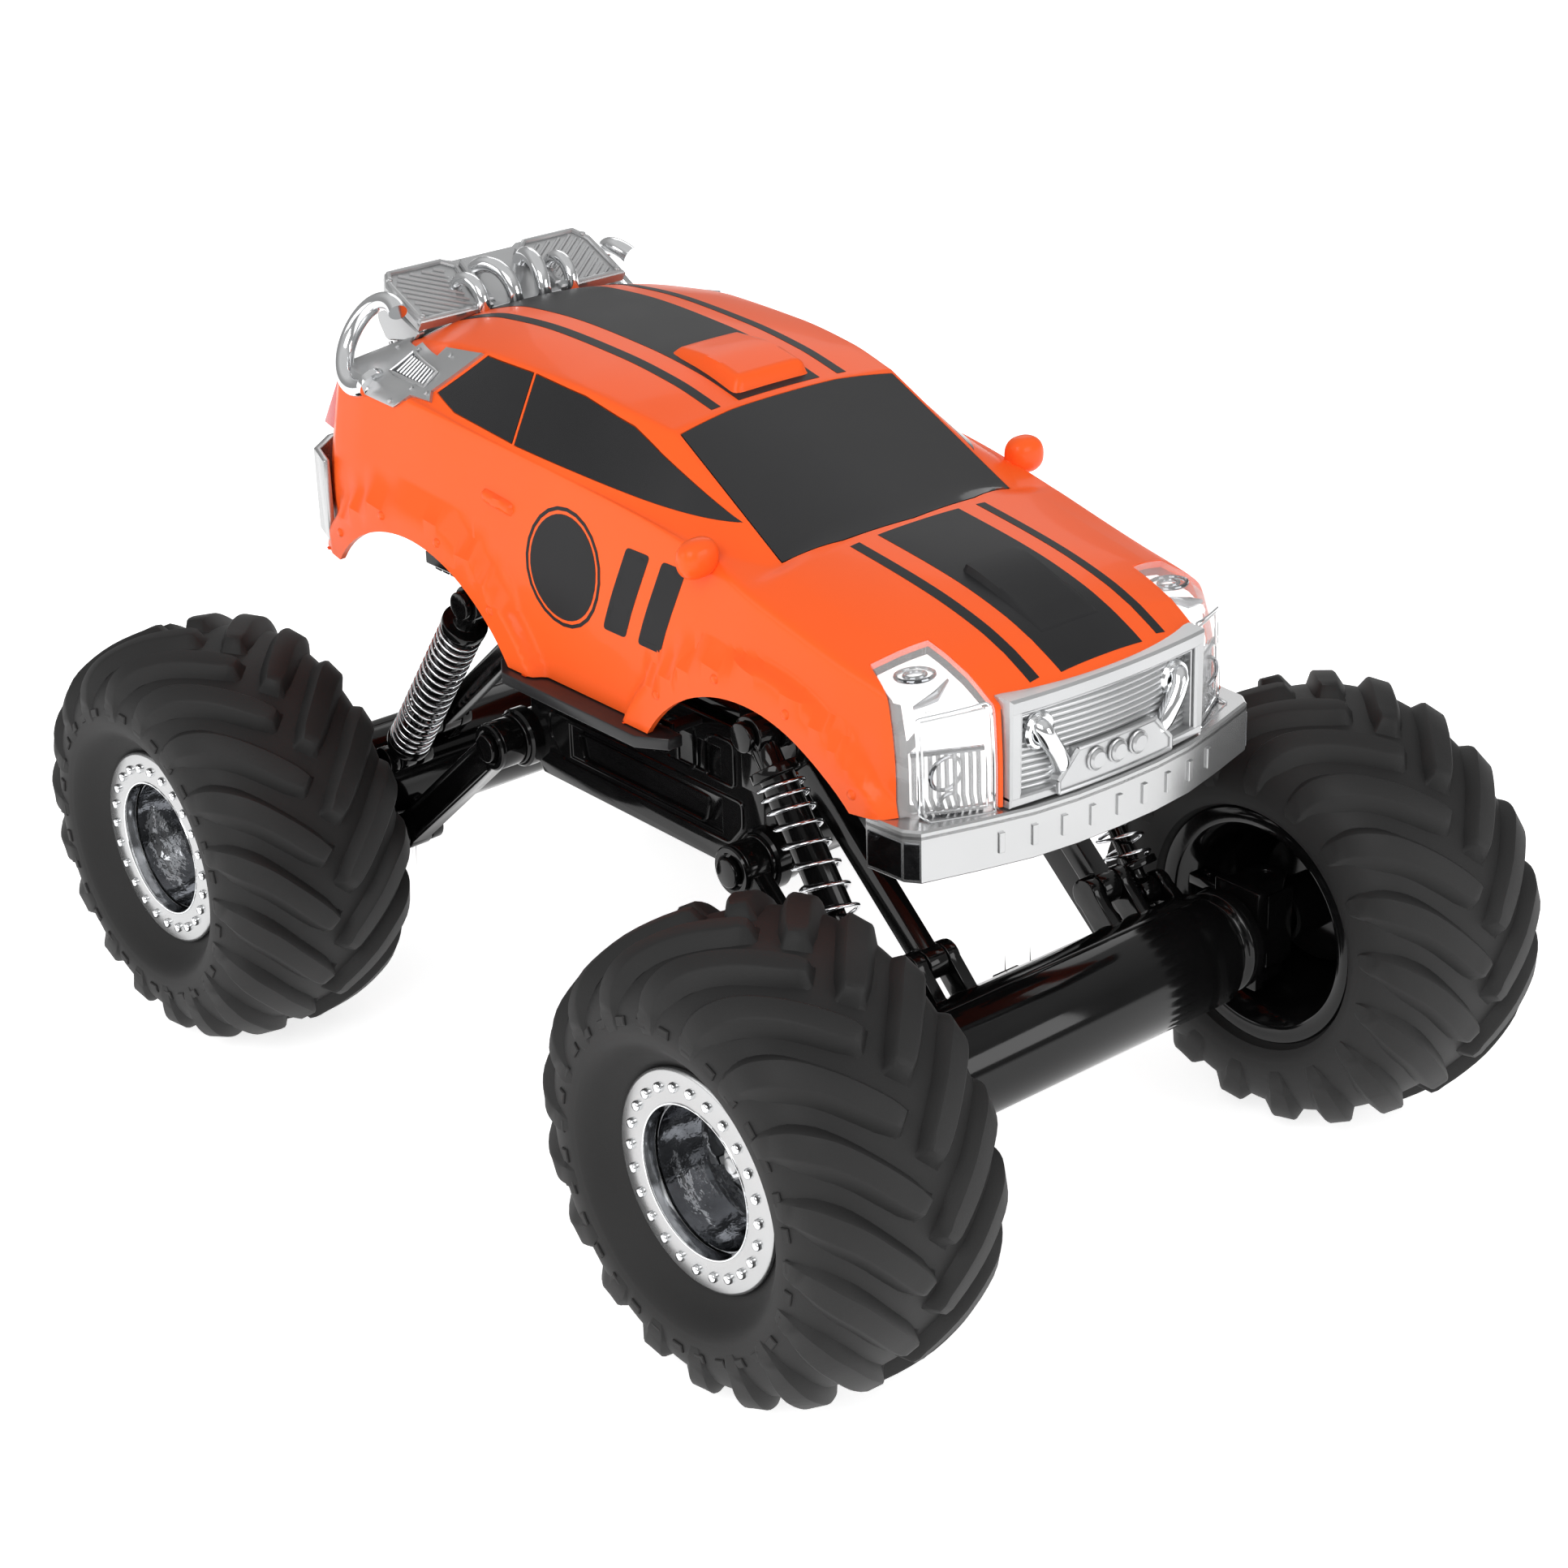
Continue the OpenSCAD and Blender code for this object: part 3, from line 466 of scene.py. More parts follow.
def turned_open(profile, sides, s=1):
    points = []
    inner = profile[1:-1]
    cols = len(inner)
    for k in range(sides):
        a = 2 * math.pi * k / sides
        points.extend((x, -r * math.sin(a), r * math.cos(a)) for r, x in inner)
    faces = grid_faces(sides, cols, close_rows=True)
    first, last = len(points), len(points) + 1
    points.append((profile[0][1], 0, 0))
    points.append((profile[-1][1], 0, 0))
    for k in range(sides):
        a, b = k * cols, ((k + 1) % sides) * cols
        faces.append((first, a, b))
        faces.append((last, b + cols - 1, a + cols - 1))
    if s < 0:
        faces = [tuple(reversed(f)) for f in faces]
    return points, faces


# ---- Wheels ----

WHEEL_X, AXLE_Y, AXLE_Z = 87.6, 110.0, 55.0
LUGS = 18
# Half of the tyre's outer section from crown to sidewall, as (x, radius)
CROWN_TO_WALL = [(0, 51.6), (6, 51.35), (13, 50.4), (19.4, 48.4), (23.2, 45.6), (25.4, 42.4), (26.5, 39), (26.7, 36),
                 (26.2, 33.6)]
# One tread bar: (arc from crown, lag round the tyre, height, half width, wide flank, narrow flank)
BAR = [(0.7, -0.2, -0.5, 2.5, 2.1, 1.1), (2.5, 1.6, 3.3, 1.9, 2.1, 1.1), (5.0, 4.3, 3.35, 2.5, 2.2, 1.2),
       (9.0, 8.6, 3.35, 2.6, 2.4, 1.3), (13.0, 12.9, 3.3, 2.6, 2.5, 1.3), (17.0, 17.0, 3.1, 2.7, 2.6, 1.4),
       (20.5, 20.2, 2.9, 2.8, 2.6, 1.5), (23.5, 22.6, 2.5, 2.8, 2.5, 1.5), (26.0, 24.2, 2.0, 2.7, 2.3, 1.5),
       (28.5, 25.2, 1.35, 2.5, 2.0, 1.4), (31.0, 25.8, 0.8, 2.2, 1.7, 1.2), (33.5, 26.0, 0.45, 1.7, 1.4, 1.0),
       (36.0, 25.8, -0.3, 1.0, 1.0, 0.8)]


def wall_curve():
    dense = catmull(CROWN_TO_WALL, 12)
    arc = np.r_[0, np.cumsum(np.linalg.norm(np.diff(dense, axis=0), axis=1))]
    return dense, arc


WALL, WALL_ARC = wall_curve()


def wall_at(a):
    x, r = np.interp(a, WALL_ARC, WALL[:, 0]), np.interp(a, WALL_ARC, WALL[:, 1])
    x2, r2 = np.interp(a + 0.4, WALL_ARC, WALL[:, 0]), np.interp(a + 0.4, WALL_ARC, WALL[:, 1])
    x1, r1 = np.interp(max(a - 0.4, 0), WALL_ARC, WALL[:, 0]), np.interp(max(a - 0.4, 0), WALL_ARC, WALL[:, 1])
    d = np.array([x2 - x1, r2 - r1])
    d /= np.linalg.norm(d)
    return x, r, -d[1], d[0]


def on_tyre(a, theta):
    x, r, nx, nr = wall_at(a)
    return (np.array([x, -r * math.sin(theta), r * math.cos(theta)]),
            np.array([nx, -nr * math.sin(theta), nr * math.cos(theta)]))


def tread_bar(theta0):
    """A long bar with a blunt inner end that dies away down the sidewall."""
    table = catmull(BAR, 2)
    table[0], table[1] = BAR[0], [(BAR[0][i] + BAR[1][i]) / 2 for i in range(6)]
    centre = [on_tyre(row[0], theta0 - row[1] / 51.6) for row in table]
    points = []
    for i, row in enumerate(table):
        p, n = centre[i]
        along = centre[min(i + 1, len(table) - 1)][0] - centre[max(i - 1, 0)][0]
        along /= np.linalg.norm(along)
        across = np.cross(n, along)
        h, w, wide, narrow = row[2], row[3], row[4], row[5]
        low = min(-0.5, h)
        for q, k in ((-w - wide, low), (-w - wide * 0.14, h - 0.45 * (h > 1)), (-w + 0.3, h), (w - 0.3, h),
                     (w + narrow * 0.2, h - 0.5 * (h > 1)), (w + narrow, low)):
            points.append(tuple(p + across * q + n * k))
    cols = 6
    faces = grid_faces(len(table), cols, close_cols=True)
    faces.append(tuple(reversed(range(cols))))
    faces.append(tuple(range((len(table) - 1) * cols, len(table) * cols)))
    return points, faces


def wall_block(corners, height):
    """A raised block on the sidewall. corners are (mm round the wall at radius 36, radius)."""
    edge = []
    for i, (u, r) in enumerate(corners):
        u2, r2 = corners[(i + 1) % len(corners)]
        for k in range(3):
            edge.append((u + (u2 - u) * k / 3, r + (r2 - r) * k / 3))
    inner = inset(np.array(edge)[::-1], 0.22)[::-1]
    points = []
    for ring, h in ((edge, -0.5), (edge, height - 0.2), (inner, height)):
        for u, r in ring:
            a = np.interp(-r, -WALL[:, 1], WALL_ARC)
            p, n = on_tyre(a, u / 36)
            points.append(tuple(p + n * h))
    n = len(edge)
    faces = grid_faces(3, n, close_cols=True)
    faces.append(tuple(range(2 * n, 3 * n)))
    faces.append(tuple(reversed(range(n))))
    return points, faces


WALL_BLOCKS = 32
# One sidewall block: (mm round the wall, radius) of its corners, and how far it stands out
WALL_BLOCK, WALL_BLOCK_HEIGHT = [(1.5, 39.2), (1.5, 37.2), (-1.5, 37.2), (-1.5, 39.2)], 0.5


def wall_pattern():
    """Small plain blocks, all alike and evenly spaced right round the sidewall."""
    block = wall_block(WALL_BLOCK, WALL_BLOCK_HEIGHT)
    turns = (2 * math.pi * i / WALL_BLOCKS for i in range(WALL_BLOCKS))
    return [moved(block, Matrix.Rotation(turn, 4, "X")) for turn in turns]


def make_tyre():
    outer = [(r, x) for x, r in WALL[::-1]]
    lip = [(25.4, 18.7), (26.6, 19.5), (28.4, 20.9), (30.2, 22.9), (31.6, 24.6), (32.6, 25.5)]
    back = [(32.4, -25.6), (31.2, -24.8), (30.8, -23.2), (29.2, -21.6), (25.4, -19.2)]
    section = lip + outer[::3] + [(r, -x) for x, r in WALL[3::3]] + back
    body = turned(section, 144)
    bars = [tread_bar(2 * math.pi * i / LUGS) for i in range(LUGS)]
    other = [mirrored(tread_bar(2 * math.pi * (i + 0.5) / LUGS)) for i in range(LUGS)]
    return joined([body, *bars, *other, *wall_pattern()])


def make_rim():
    """The rim: a black barrel behind, and a deep bright dish in front."""
    section = [(7.2, -14.2), (7.2, -1.2), (15.6, -1.2), (16.4, -0.6), (18.4, 14.8), (22.4, 14.8), (22.4, -17.6),
               (23.2, -19.0), (25.8, -22.6), (26.4, -23.0), (28.6, -23.4), (29.8, -23.3), (30.3, -22.7), (30.3, -21.2),
               (29.6, -20.6), (25.1, -19.5), (25.0, 16.9), (18.2, 16.9)]
    black = turned(section + [(16.9, 16.6), (14.9, 1.0), (6, 1.0), (6, -14.2)], 96)
    n_black = len(black[1])
    dish = turned([(17.3, 17.0), (16.9, 16.9), (16.2, 12.6), (16.05, 12.4), (15.75, 8.6), (15.6, 8.4), (15.3, 4.6),
                   (15.15, 4.4), (14.9, 1.35), (14.4, 0.95), (14.6, 0.8), (17.0, 16.4)], 72)
    web = turned([(14.6, 1.0), (14.4, 1.3), (8.6, 1.7), (6.6, 2.6), (5.6, 6.4), (5.0, 7.0), (3.2, 7.0),
                  (3.2, 1.0)], 72)
    ribs = []
    for k in range(6):
        rib = prism(rounded([(-1.3, 5.2), (1.3, 5.2), (0.9, 14.2), (-0.9, 14.2)], 0.3, 2), 1.2, 4.0, 0.3)
        turn = Matrix.Rotation(k * math.pi / 3, 4, "X") @ Matrix.Rotation(math.pi / 2, 4, "Y")
        ribs.append(moved(rib, turn @ Matrix.Rotation(math.pi / 2, 4, "Z")))
    cups = []
    for k in range(6):
        a = (k + 0.5) * math.pi / 3
        ring = turned([(2.7, 1.2), (2.7, 1.9), (2.45, 2.1), (2.05, 2.1), (1.9, 1.9), (1.9, 1.2)], 24)
        cups.append(moved(ring, Matrix.Translation((0, -10.2 * math.sin(a), 10.2 * math.cos(a)))))
    nut = turned_open([(0, 6.6), (3.9, 6.6), (3.9, 9.4), (3.2, 10.0), (0, 10.0)], 6)
    cap = knob(2.0, 9.6, 11.0, 24, 0.4)
    silver = joined([web, *ribs, *cups, nut, cap])
    all_parts = joined([black, dish, silver])
    mats = [0] * n_black + [1] * len(dish[1]) + [2] * len(silver[1])
    return all_parts, mats


def make_ring():
    section = [(17.5, 17.2), (25.2, 17.2), (25.2, 19.0), (25.5, 19.2), (25.5, 20.0), (25.2, 20.35), (24.8, 20.5),
               (18.4, 20.6), (17.9, 20.5), (17.6, 20.2)]
    plate = turned(section, 120)
    studs = []
    for k in range(24):
        a = 2 * math.pi * k / 24
        stud = knob(1.2, 20.3, 21.6, 16, 0.5)
        studs.append(moved(stud, Matrix.Translation((0, -21.5 * math.sin(a), 21.5 * math.cos(a)))))
    lip = turned([(17.45, 17.6), (17.95, 20.3), (17.75, 20.66), (17.45, 20.6), (17.3, 20.2), (17.2, 17.6)], 96)
    rest = joined(studs + [lip])
    parts = joined([plate, rest])
    return parts, [0] * len(plate[1]) + [1] * len(rest[1])


def make_wheels():
    tyre = make_tyre()
    rim, rim_mats = make_rim()
    ring, ring_mats = make_ring()
    meshes = {}
    for hand, flip in (("left", False), ("right", True)):
        put = mirrored if flip else (lambda part: part)
        meshes[hand] = (new_piece(f"tyre_{hand}", *put(tyre), ["rubber"], sharp=38),
                        new_piece(f"rim_{hand}", *put(rim), ["gloss", "dark_chrome", "silver"], rim_mats, 40),
                        new_piece(f"ring_{hand}", *put(ring), ["pale", "chrome"], ring_mats, 40))
    bodies = {"front_left": "wheel_front_left", "front_right": "wheel_front_right",
              "rear_left": "wheels_rear", "rear_right": "wheels_rear"}
    for where, body in bodies.items():
        end, hand = where.split("_")
        x = WHEEL_X if hand == "left" else -WHEEL_X
        y = -AXLE_Y if end == "front" else AXLE_Y
        for source, kind, slot in zip(meshes[hand], ("tyre", "rim", "bead_ring"),
                                      ("tyre_rubber", "dark_chrome", "satin_silver")):
            obj = bpy.data.objects.new(f"{kind}_{where}_detail", source.data)
            obj.location = (x * MM, y * MM, AXLE_Z * MM)
            bpy.context.collection.objects.link(obj)
            place(obj, body, slot, f"{kind}_{where}")
    for group in meshes.values():
        for obj in group:
            bpy.data.objects.remove(obj)


make_wheels()


# ---- Springs and shocks ----

SHOCK_TOP, SHOCK_LOW = np.array([42.5, -55.0, 121.0]), np.array([42.5, -94.5, 66.0])
SHOCK_LEN = float(np.linalg.norm(SHOCK_LOW - SHOCK_TOP))


def shock_frame(end, side):
    """Local frame of a shock: origin at the top mount, z up along the shock."""
    flip = np.array([side, 1 if end == "front" else -1, 1.0])
    top, low = SHOCK_TOP * flip, SHOCK_LOW * flip
    z = (top - low) / SHOCK_LEN
    x = np.array([1.0, 0, 0])
    y = np.cross(z, x)
    m = Matrix((x, y, z)).transposed().to_4x4()
    m.translation = Vector(top)
    return m


def coil(turns, crowd_top, crowd_low, radius=5.35, wire=0.46, top=-11.9, low=-59.6, steps=30):
    path = []
    for i in range(int(turns * steps) + 1):
        t = i / (turns * steps)
        u = t
        if crowd_top or crowd_low:
            u = t + (-crowd_top * math.sin(math.pi * t) * (1 - t) + crowd_low * math.sin(math.pi * t) * t)
        a = 2 * math.pi * turns * t
        path.append((radius * math.cos(a), radius * math.sin(a), top + (low - top) * u))
    return swept(path, wire, 8)


def make_springs():
    for end, turns, crowd in (("front", 11, (0.18, 0.02)), ("rear", 18, (0.05, 0.05))):
        for side in SIDES:
            hand = "left" if side > 0 else "right"
            m = shock_frame(end, side)
            part = moved(coil(turns, *crowd), m)
            obj = new_piece(f"spring_{end}_{hand}", *part, ["wire"], sharp=80)
            top, low = m @ Vector((0, 0, -12.5)), m @ Vector((0, 0, -59))
            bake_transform(obj, f"shock_cylinders_{end}", f"shock_rods_{end}", start=top * MM, end=low * MM)
            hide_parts(f"shock_springs_{end}")


make_springs()


# ---- Body shell ----

# y, half width at sill, sill height, half width at shoulder, shoulder height, crown height
LOWER = [[-124, 24, 121, 24, 143, 145.5], [-120, 33, 121, 31, 144.2, 148], [-112, 47.5, 121, 46, 145, 152],
         [-104, 50.2, 120, 47.5, 147.5, 155], [-88, 50.4, 118, 48, 150.5, 159], [-64, 50.4, 116, 48, 156, 162.4],
         [-44, 50.2, 115, 47, 161, 164.5], [-20, 50, 115, 46.8, 164.5, 166], [10, 50, 115, 46.8, 166.5, 168],
         [40, 50.2, 115, 47, 168.5, 170], [66, 50.4, 117, 47.5, 170.5, 172], [90, 50.3, 121, 47, 171.5, 173.5],
         [104, 49.4, 123, 45.5, 171.5, 174], [112, 46, 124, 42, 163, 166], [118, 39, 125, 37, 150, 152]]
CABIN_BASE = [[-61, 37, 158.6], [-56, 37.6, 159.2], [-46, 43, 161.2], [-40, 44.6, 162], [-17, 46, 164.5],
              [0, 46.3, 166], [20, 46.5, 167.5], [45, 46.5, 169], [66, 46, 171], [84, 45, 172], [106, 42, 171.4]]
CABIN_EDGE = [[-61, 35.8, 159], [-56, 35.4, 159.6], [-16.4, 33.2, 180.5], [0, 35.2, 183], [20, 36, 184.6],
              [45, 36.2, 185], [66, 35, 183.4], [84, 33.8, 179.6], [106, 36, 172]]
CABIN_CROWN = [[-61, 162.4], [-16.4, 182.4], [0, 186], [20, 188.2], [45, 189.2], [66, 188.2], [84, 184], [106, 173]]
ARCHES = ((-65.0, 88.0, 46.0), (66.0, 93.0, 45.0))
SIDE_GLASS_FRONT = [[-43.4, 166], [-6, 180], [12, 183.1], [31.4, 184.2], [29.1, 168.9]]
SIDE_GLASS_REAR = [[32.1, 184.2], [51, 184.2], [63.5, 173.5], [54, 171], [29.8, 169]]
FRONT_GLASS = [[-35, -56], [-20, -59.6], [0, -61], [20, -59.6], [35, -56], [32.4, -17.7], [16, -16.6], [-16, -16.6],
               [-32.4, -17.7]]
REAR_GLASS = [[-31, 88], [31, 88], [35, 101], [-35, 101]]
HEADLAMP = [[30.5, -123], [49.5, -116], [50, -112], [44.4, -95.5], [31, -99.5]]


def pchip(xs, ys, x):
    """Shape-keeping cubic through the points, so a flat run stays flat."""
    xs, ys = np.array(xs, float), np.array(ys, float)
    h, d = np.diff(xs), np.diff(ys) / np.diff(xs)
    m = np.zeros(len(xs))
    if len(xs) == 2:
        m[:] = d[0]
    else:
        for i in range(1, len(xs) - 1):
            if d[i - 1] * d[i] > 0:
                w1, w2 = 2 * h[i] + h[i - 1], h[i] + 2 * h[i - 1]
                m[i] = (w1 + w2) / (w1 / d[i - 1] + w2 / d[i])
        m[0], m[-1] = d[0], d[-1]
    i = min(max(int(np.searchsorted(xs, x)) - 1, 0), len(xs) - 2)
    t = min(max((x - xs[i]) / h[i], 0), 1)
    return ((1 + 2 * t) * (1 - t) ** 2 * ys[i] + t * (1 - t) ** 2 * h[i] * m[i]
            + t * t * (3 - 2 * t) * ys[i + 1] + t * t * (t - 1) * h[i] * m[i + 1])


def table_at(table, y, column, creases):
    """A column of a station table at y, smooth between the creases."""
    bounds = [table[0][0]] + [c for c in creases if table[0][0] < c < table[-1][0]] + [table[-1][0]]
    for a, b in zip(bounds, bounds[1:]):
        if y <= b or b == bounds[-1]:
            rows = [r for r in table if a <= r[0] <= b]
            return pchip([r[0] for r in rows], [r[column] for r in rows], y)


def ramp(x, a, b):
    t = min(max((x - a) / (b - a), 0), 1)
    return t * t * (3 - 2 * t)


def section(y):
    """Half section from sill to crown: five corners, the inner ones rounded, always the same number of points."""
    hl, zl, hs, zs, zc = [table_at(LOWER, y, c, (-112, 104)) for c in range(1, 6)]
    hood = lambda x: zc - (zc - zs) * (x / hs) ** 2.4
    p3, p4 = np.array([0.79 * hs, hood(0.79 * hs)]), np.array([0.74 * hs, hood(0.74 * hs)])
    w = ramp(y, -61, -56) * (1 - ramp(y, 100, 106))
    if w > 0:
        c3 = np.array([table_at(CABIN_BASE, y, c, (-56,)) for c in (1, 2)])
        c4 = np.array([table_at(CABIN_EDGE, y, c, (-56, -16.4)) for c in (1, 2)])
        p3, p4 = p3 + (c3 - p3) * w, p4 + (c4 - p4) * w
    if -61 <= y <= 106:
        zc = max(zc, table_at(CABIN_CROWN, y, 1, (-16.4,)))
    bulge = 1.3 * ramp(y, -112, -90) * (1 - ramp(y, 100, 114))
    p0 = np.array([hl, zl])
    p1 = np.array([max(hl, hs) + bulge, zl + 0.45 * (zs - zl)])
    p2 = np.array([hs, zs])
    corners = [p0, p1, p2, p3, p4]
    crown = [np.array([p4[0] * k, zc - (zc - p4[1]) * k ** 2.3]) for k in np.linspace(1, 0, 19)]
    corners.append(crown[1])
    radii, counts = (None, 9.0, 1.7, 0.8, 2.4), (12, 14, 3, 14, 2)
    out, start = [], p0
    for i in range(1, 5):
        a, b, c = corners[i - 1], corners[i], corners[i + 1]
        u, v = a - b, c - b
        lu, lv = np.linalg.norm(u), np.linalg.norm(v)
        r = min(radii[i], 0.45 * lu, 0.45 * lv)
        s, e = b + u / lu * r, b + v / lv * r
        out.extend(start + (s - start) * k / counts[i - 1] for k in range(counts[i - 1]))
        out.extend((1 - t) ** 2 * s + 2 * t * (1 - t) * b + t * t * e for t in np.linspace(0, 1, 5)[:-1])
        start = e
    out.append(start)
    out.extend(crown[1:])
    out = np.array(out)
    for i, (x, z) in enumerate(out):
        if z < 152 and i < 34:
            for cy, cz, r in ARCHES:
                d = math.hypot(y - cy, z - cz) - r
                out[i, 0] += 3.2 * (1 - ramp(d, 7.6, 10.6)) * ramp(150 - z, 0, 6)
    return out


def body_rows():
    ys = np.concatenate([np.arange(-124, -112, 0.75), np.arange(-112, -61, 1.25), np.arange(-61, -16.4, 1.2),
                         np.arange(-16.4, 104, 1.3), np.arange(104, 118.1, 0.9), [118.0]])
    ys = np.unique(np.round(ys, 3))
    return ys, [section(float(y)) for y in ys]


def body_loft():
    ys, rows = body_rows()
    n = len(rows[0])
    points = []
    for k in (0.0, 0.5):
        points.extend((x * k, -124.6 + 0.4 * k, 121 + (z - 121) * (0.6 + 0.4 * k)) for x, z in full_row(rows[0]))
    for y, row in zip(ys, rows):
        points.extend((x, y, z) for x, z in full_row(row))
    for k in (0.6, 0.0):
        points.extend((x * k, 119.4 - k, 125 + (z - 125) * (0.8 + 0.2 * k)) for x, z in full_row(rows[-1]))
    cols = 2 * n - 1
    return points, grid_faces(len(points) // cols, cols)


def full_row(row):
    return [(-x, z) for x, z in row] + [(x, z) for x, z in row[::-1][1:]]


BODY = body_loft()
SKIN = BVHTree.FromPolygons([Vector(p) for p in BODY[0]], BODY[1])


def drop(x, y):
    """Height of the body at (x, y), and its outward normal."""
    hit, normal, _, _ = SKIN.ray_cast(Vector((x, y, 260)), Vector((0, 0, -1)))
    if hit is None:
        hit, normal, _, _ = SKIN.find_nearest(Vector((x, y, 150)))
    return hit, normal if normal.z >= 0 else -normal


def side_hit(y, z, side):
    hit, normal, _, _ = SKIN.ray_cast(Vector((side * 120, y, z)), Vector((-side, 0, 0)))
    if hit is None:
        hit, normal, _, _ = SKIN.find_nearest(Vector((side * 60, y, z)))
    return hit, normal if normal.x * side >= 0 else -normal


def front_hit(x, z):
    hit, normal, _, _ = SKIN.ray_cast(Vector((x, -200, z)), Vector((0, 1, 0)))
    if hit is None:
        hit, normal, _, _ = SKIN.find_nearest(Vector((x, -124, z)))
    return hit, normal if normal.y <= 0 else -normal


def net(outline, step):
    """A flat outline cut into small faces, so it can be laid on a curved surface."""
    bm = bmesh.new()
    bm.faces.new([bm.verts.new((a, b, 0)) for a, b in outline])
    low, high = np.min(outline, axis=0), np.max(outline, axis=0)
    for axis in (0, 1):
        count = int((high[axis] - low[axis]) / step)
        for k in range(1, count + 1):
            at, normal = [0, 0, 0], [0, 0, 0]
            at[axis], normal[axis] = low[axis] + k * (high[axis] - low[axis]) / (count + 1), 1
            bmesh.ops.bisect_plane(bm, geom=bm.verts[:] + bm.edges[:] + bm.faces[:], plane_co=at, plane_no=normal)
    bm.verts.index_update()
    points = [(v.co.x, v.co.y) for v in bm.verts]
    faces = [tuple(v.index for v in f.verts) for f in bm.faces]
    bm.free()
    return points, faces


def laid(outline, look, lift=0.12, step=3.0, thick=0.0):
    """An outline laid on the body by look(a, b); thick makes it a closed sheet that goes down into the body."""
    points, faces = net(outline, step)
    top, low = [], []
    for a, b in points:
        hit, normal = look(a, b)
        top.append(tuple(hit + normal * lift))
        low.append(tuple(hit + normal * (lift - thick)))
    hit, normal = look(*points[faces[0][0]])
    a, b, c = [Vector(top[i]) for i in faces[0][:3]]
    if (b - a).cross(c - a).dot(normal) < 0:
        faces = [tuple(reversed(f)) for f in faces]
    if not thick:
        return top, faces
    n = len(top)
    used = dict.fromkeys((i, j) for f in faces for i, j in zip(f, f[1:] + f[:1]))
    sides = []
    for i, j in used:
        if (j, i) not in used:
            sides.append((j, i, i + n, j + n))
    return top + low, faces + [tuple(k + n for k in reversed(f)) for f in faces] + sides


def on_side(side):
    return lambda y, z: side_hit(y, z, side)


def cutter(part, group):
    mesh = bpy.data.meshes.new("cutter")
    mesh.from_pydata([tuple(c * MM for c in p) for p in part[0]], [], part[1])
    obj = bpy.data.objects.new("cutter", mesh)
    group.objects.link(obj)


def baked(obj, sharp):
    """Turns an object's modifiers into its mesh, shaded smooth with sharp edges kept."""
    bpy.context.view_layer.update()
    made = bpy.data.meshes.new_from_object(obj.evaluated_get(bpy.context.evaluated_depsgraph_get()))
    obj.modifiers.clear()
    obj.data = made
    made.polygons.foreach_set("use_smooth", [True] * len(made.polygons))
    made.set_sharp_from_angle(angle=math.radians(sharp))


def hollowed(obj, thick, group, operation):
    """Gives a skin its thickness, then keeps or removes what lies inside the cutters."""
    skin = obj.modifiers.new("skin", "SOLIDIFY")
    skin.thickness = thick * MM
    skin.offset = -1
    cut = obj.modifiers.new("cut", "BOOLEAN")
    cut.operand_type = "COLLECTION"
    cut.collection = group
    cut.operation = operation
    cut.solver = "EXACT"


def drop_group(group):
    for obj in list(group.objects):
        bpy.data.objects.remove(obj)
    bpy.data.collections.remove(group)


def seam_path(points, side):
    """A line across the body's side as points on its surface."""
    return [side_hit(y, z, side)[0] for y, z in catmull(points, 6)]


DOOR_FRONT = [(-51, 160), (-50, 156.5), (-46, 144.3), (-39, 133), (-31, 123), (-28, 114.5)]
DOOR_REAR = [(29.4, 169), (33, 163), (39.5, 154), (42, 148), (40, 139), (33, 130), (28, 124.5), (25, 119)]


def make_shell():
    shell = new_piece("body_shell_skin", *BODY, ["orange"], sharp=30)
    mesh = shell.data
    top = max(mesh.polygons, key=lambda p: p.center.z)
    if top.normal.z < 0:
        mesh.flip_normals()
    group = bpy.data.collections.new("cutters")
    bpy.context.scene.collection.children.link(group)
    for cy, cz, r in ARCHES:
        cutter(prism(circle(cy, cz, r, 96), -70, 70, 0, "x"), group)
    cutter(prism(FRONT_GLASS, 150, 200, 0), group)
    cutter(prism(REAR_GLASS, 165, 200, 0), group)
    cutter(prism([[-29.8, -140], [29.8, -140], [29.8, -114], [-29.8, -114]], 100, 143.4, 0), group)
    for side in SIDES:
        lamp = prism([(x * side, y) for x, y in HEADLAMP], 119.0, 158, 0)
        cutter(lamp, group)
        for glass in (SIDE_GLASS_FRONT, SIDE_GLASS_REAR):
            cutter(prism(glass, *((35.9, 70) if side > 0 else (-70, -35.9)), 0, "x"), group)
        for line in (DOOR_FRONT, DOOR_REAR):
            cutter(swept(seam_path(line, side), 0.3, 6), group)
    hollowed(shell, 1.6, group, "DIFFERENCE")
    baked(shell, 32)
    drop_group(group)
    place(shell, "chassis", "orange_shell", "body_shell")


make_shell()


def raised_pad(look, outline, height, soft, step=1.0):
    """A pad that rises smoothly from the body inside an outline."""
    points, faces = net(outline, step)
    edges = [(np.array(outline[i]), np.array(outline[(i + 1) % len(outline)])) for i in range(len(outline))]
    out = []
    for a, b in points:
        q = np.array((a, b))
        d = min(np.linalg.norm(q - (p + (e - p) * min(max((q - p) @ (e - p) / ((e - p) @ (e - p)), 0), 1)))
                for p, e in edges)
        hit, normal = look(a, b)
        out.append(tuple(hit + normal * (height(a, b) * ramp(d, 0, soft) - 0.15 * (d < 1e-4))))
    a, b, c = [Vector(out[i]) for i in faces[0][:3]]
    if (b - a).cross(c - a).dot(look(*points[faces[0][0]])[1]) < 0:
        faces = [tuple(reversed(f)) for f in faces]
    return out, faces


# The plain disc on each door, at (y, z), and the thin ring round it
DISC_AT, RING_IN, RING_OUT = (6.2, 145.4), 13.5, 14.4


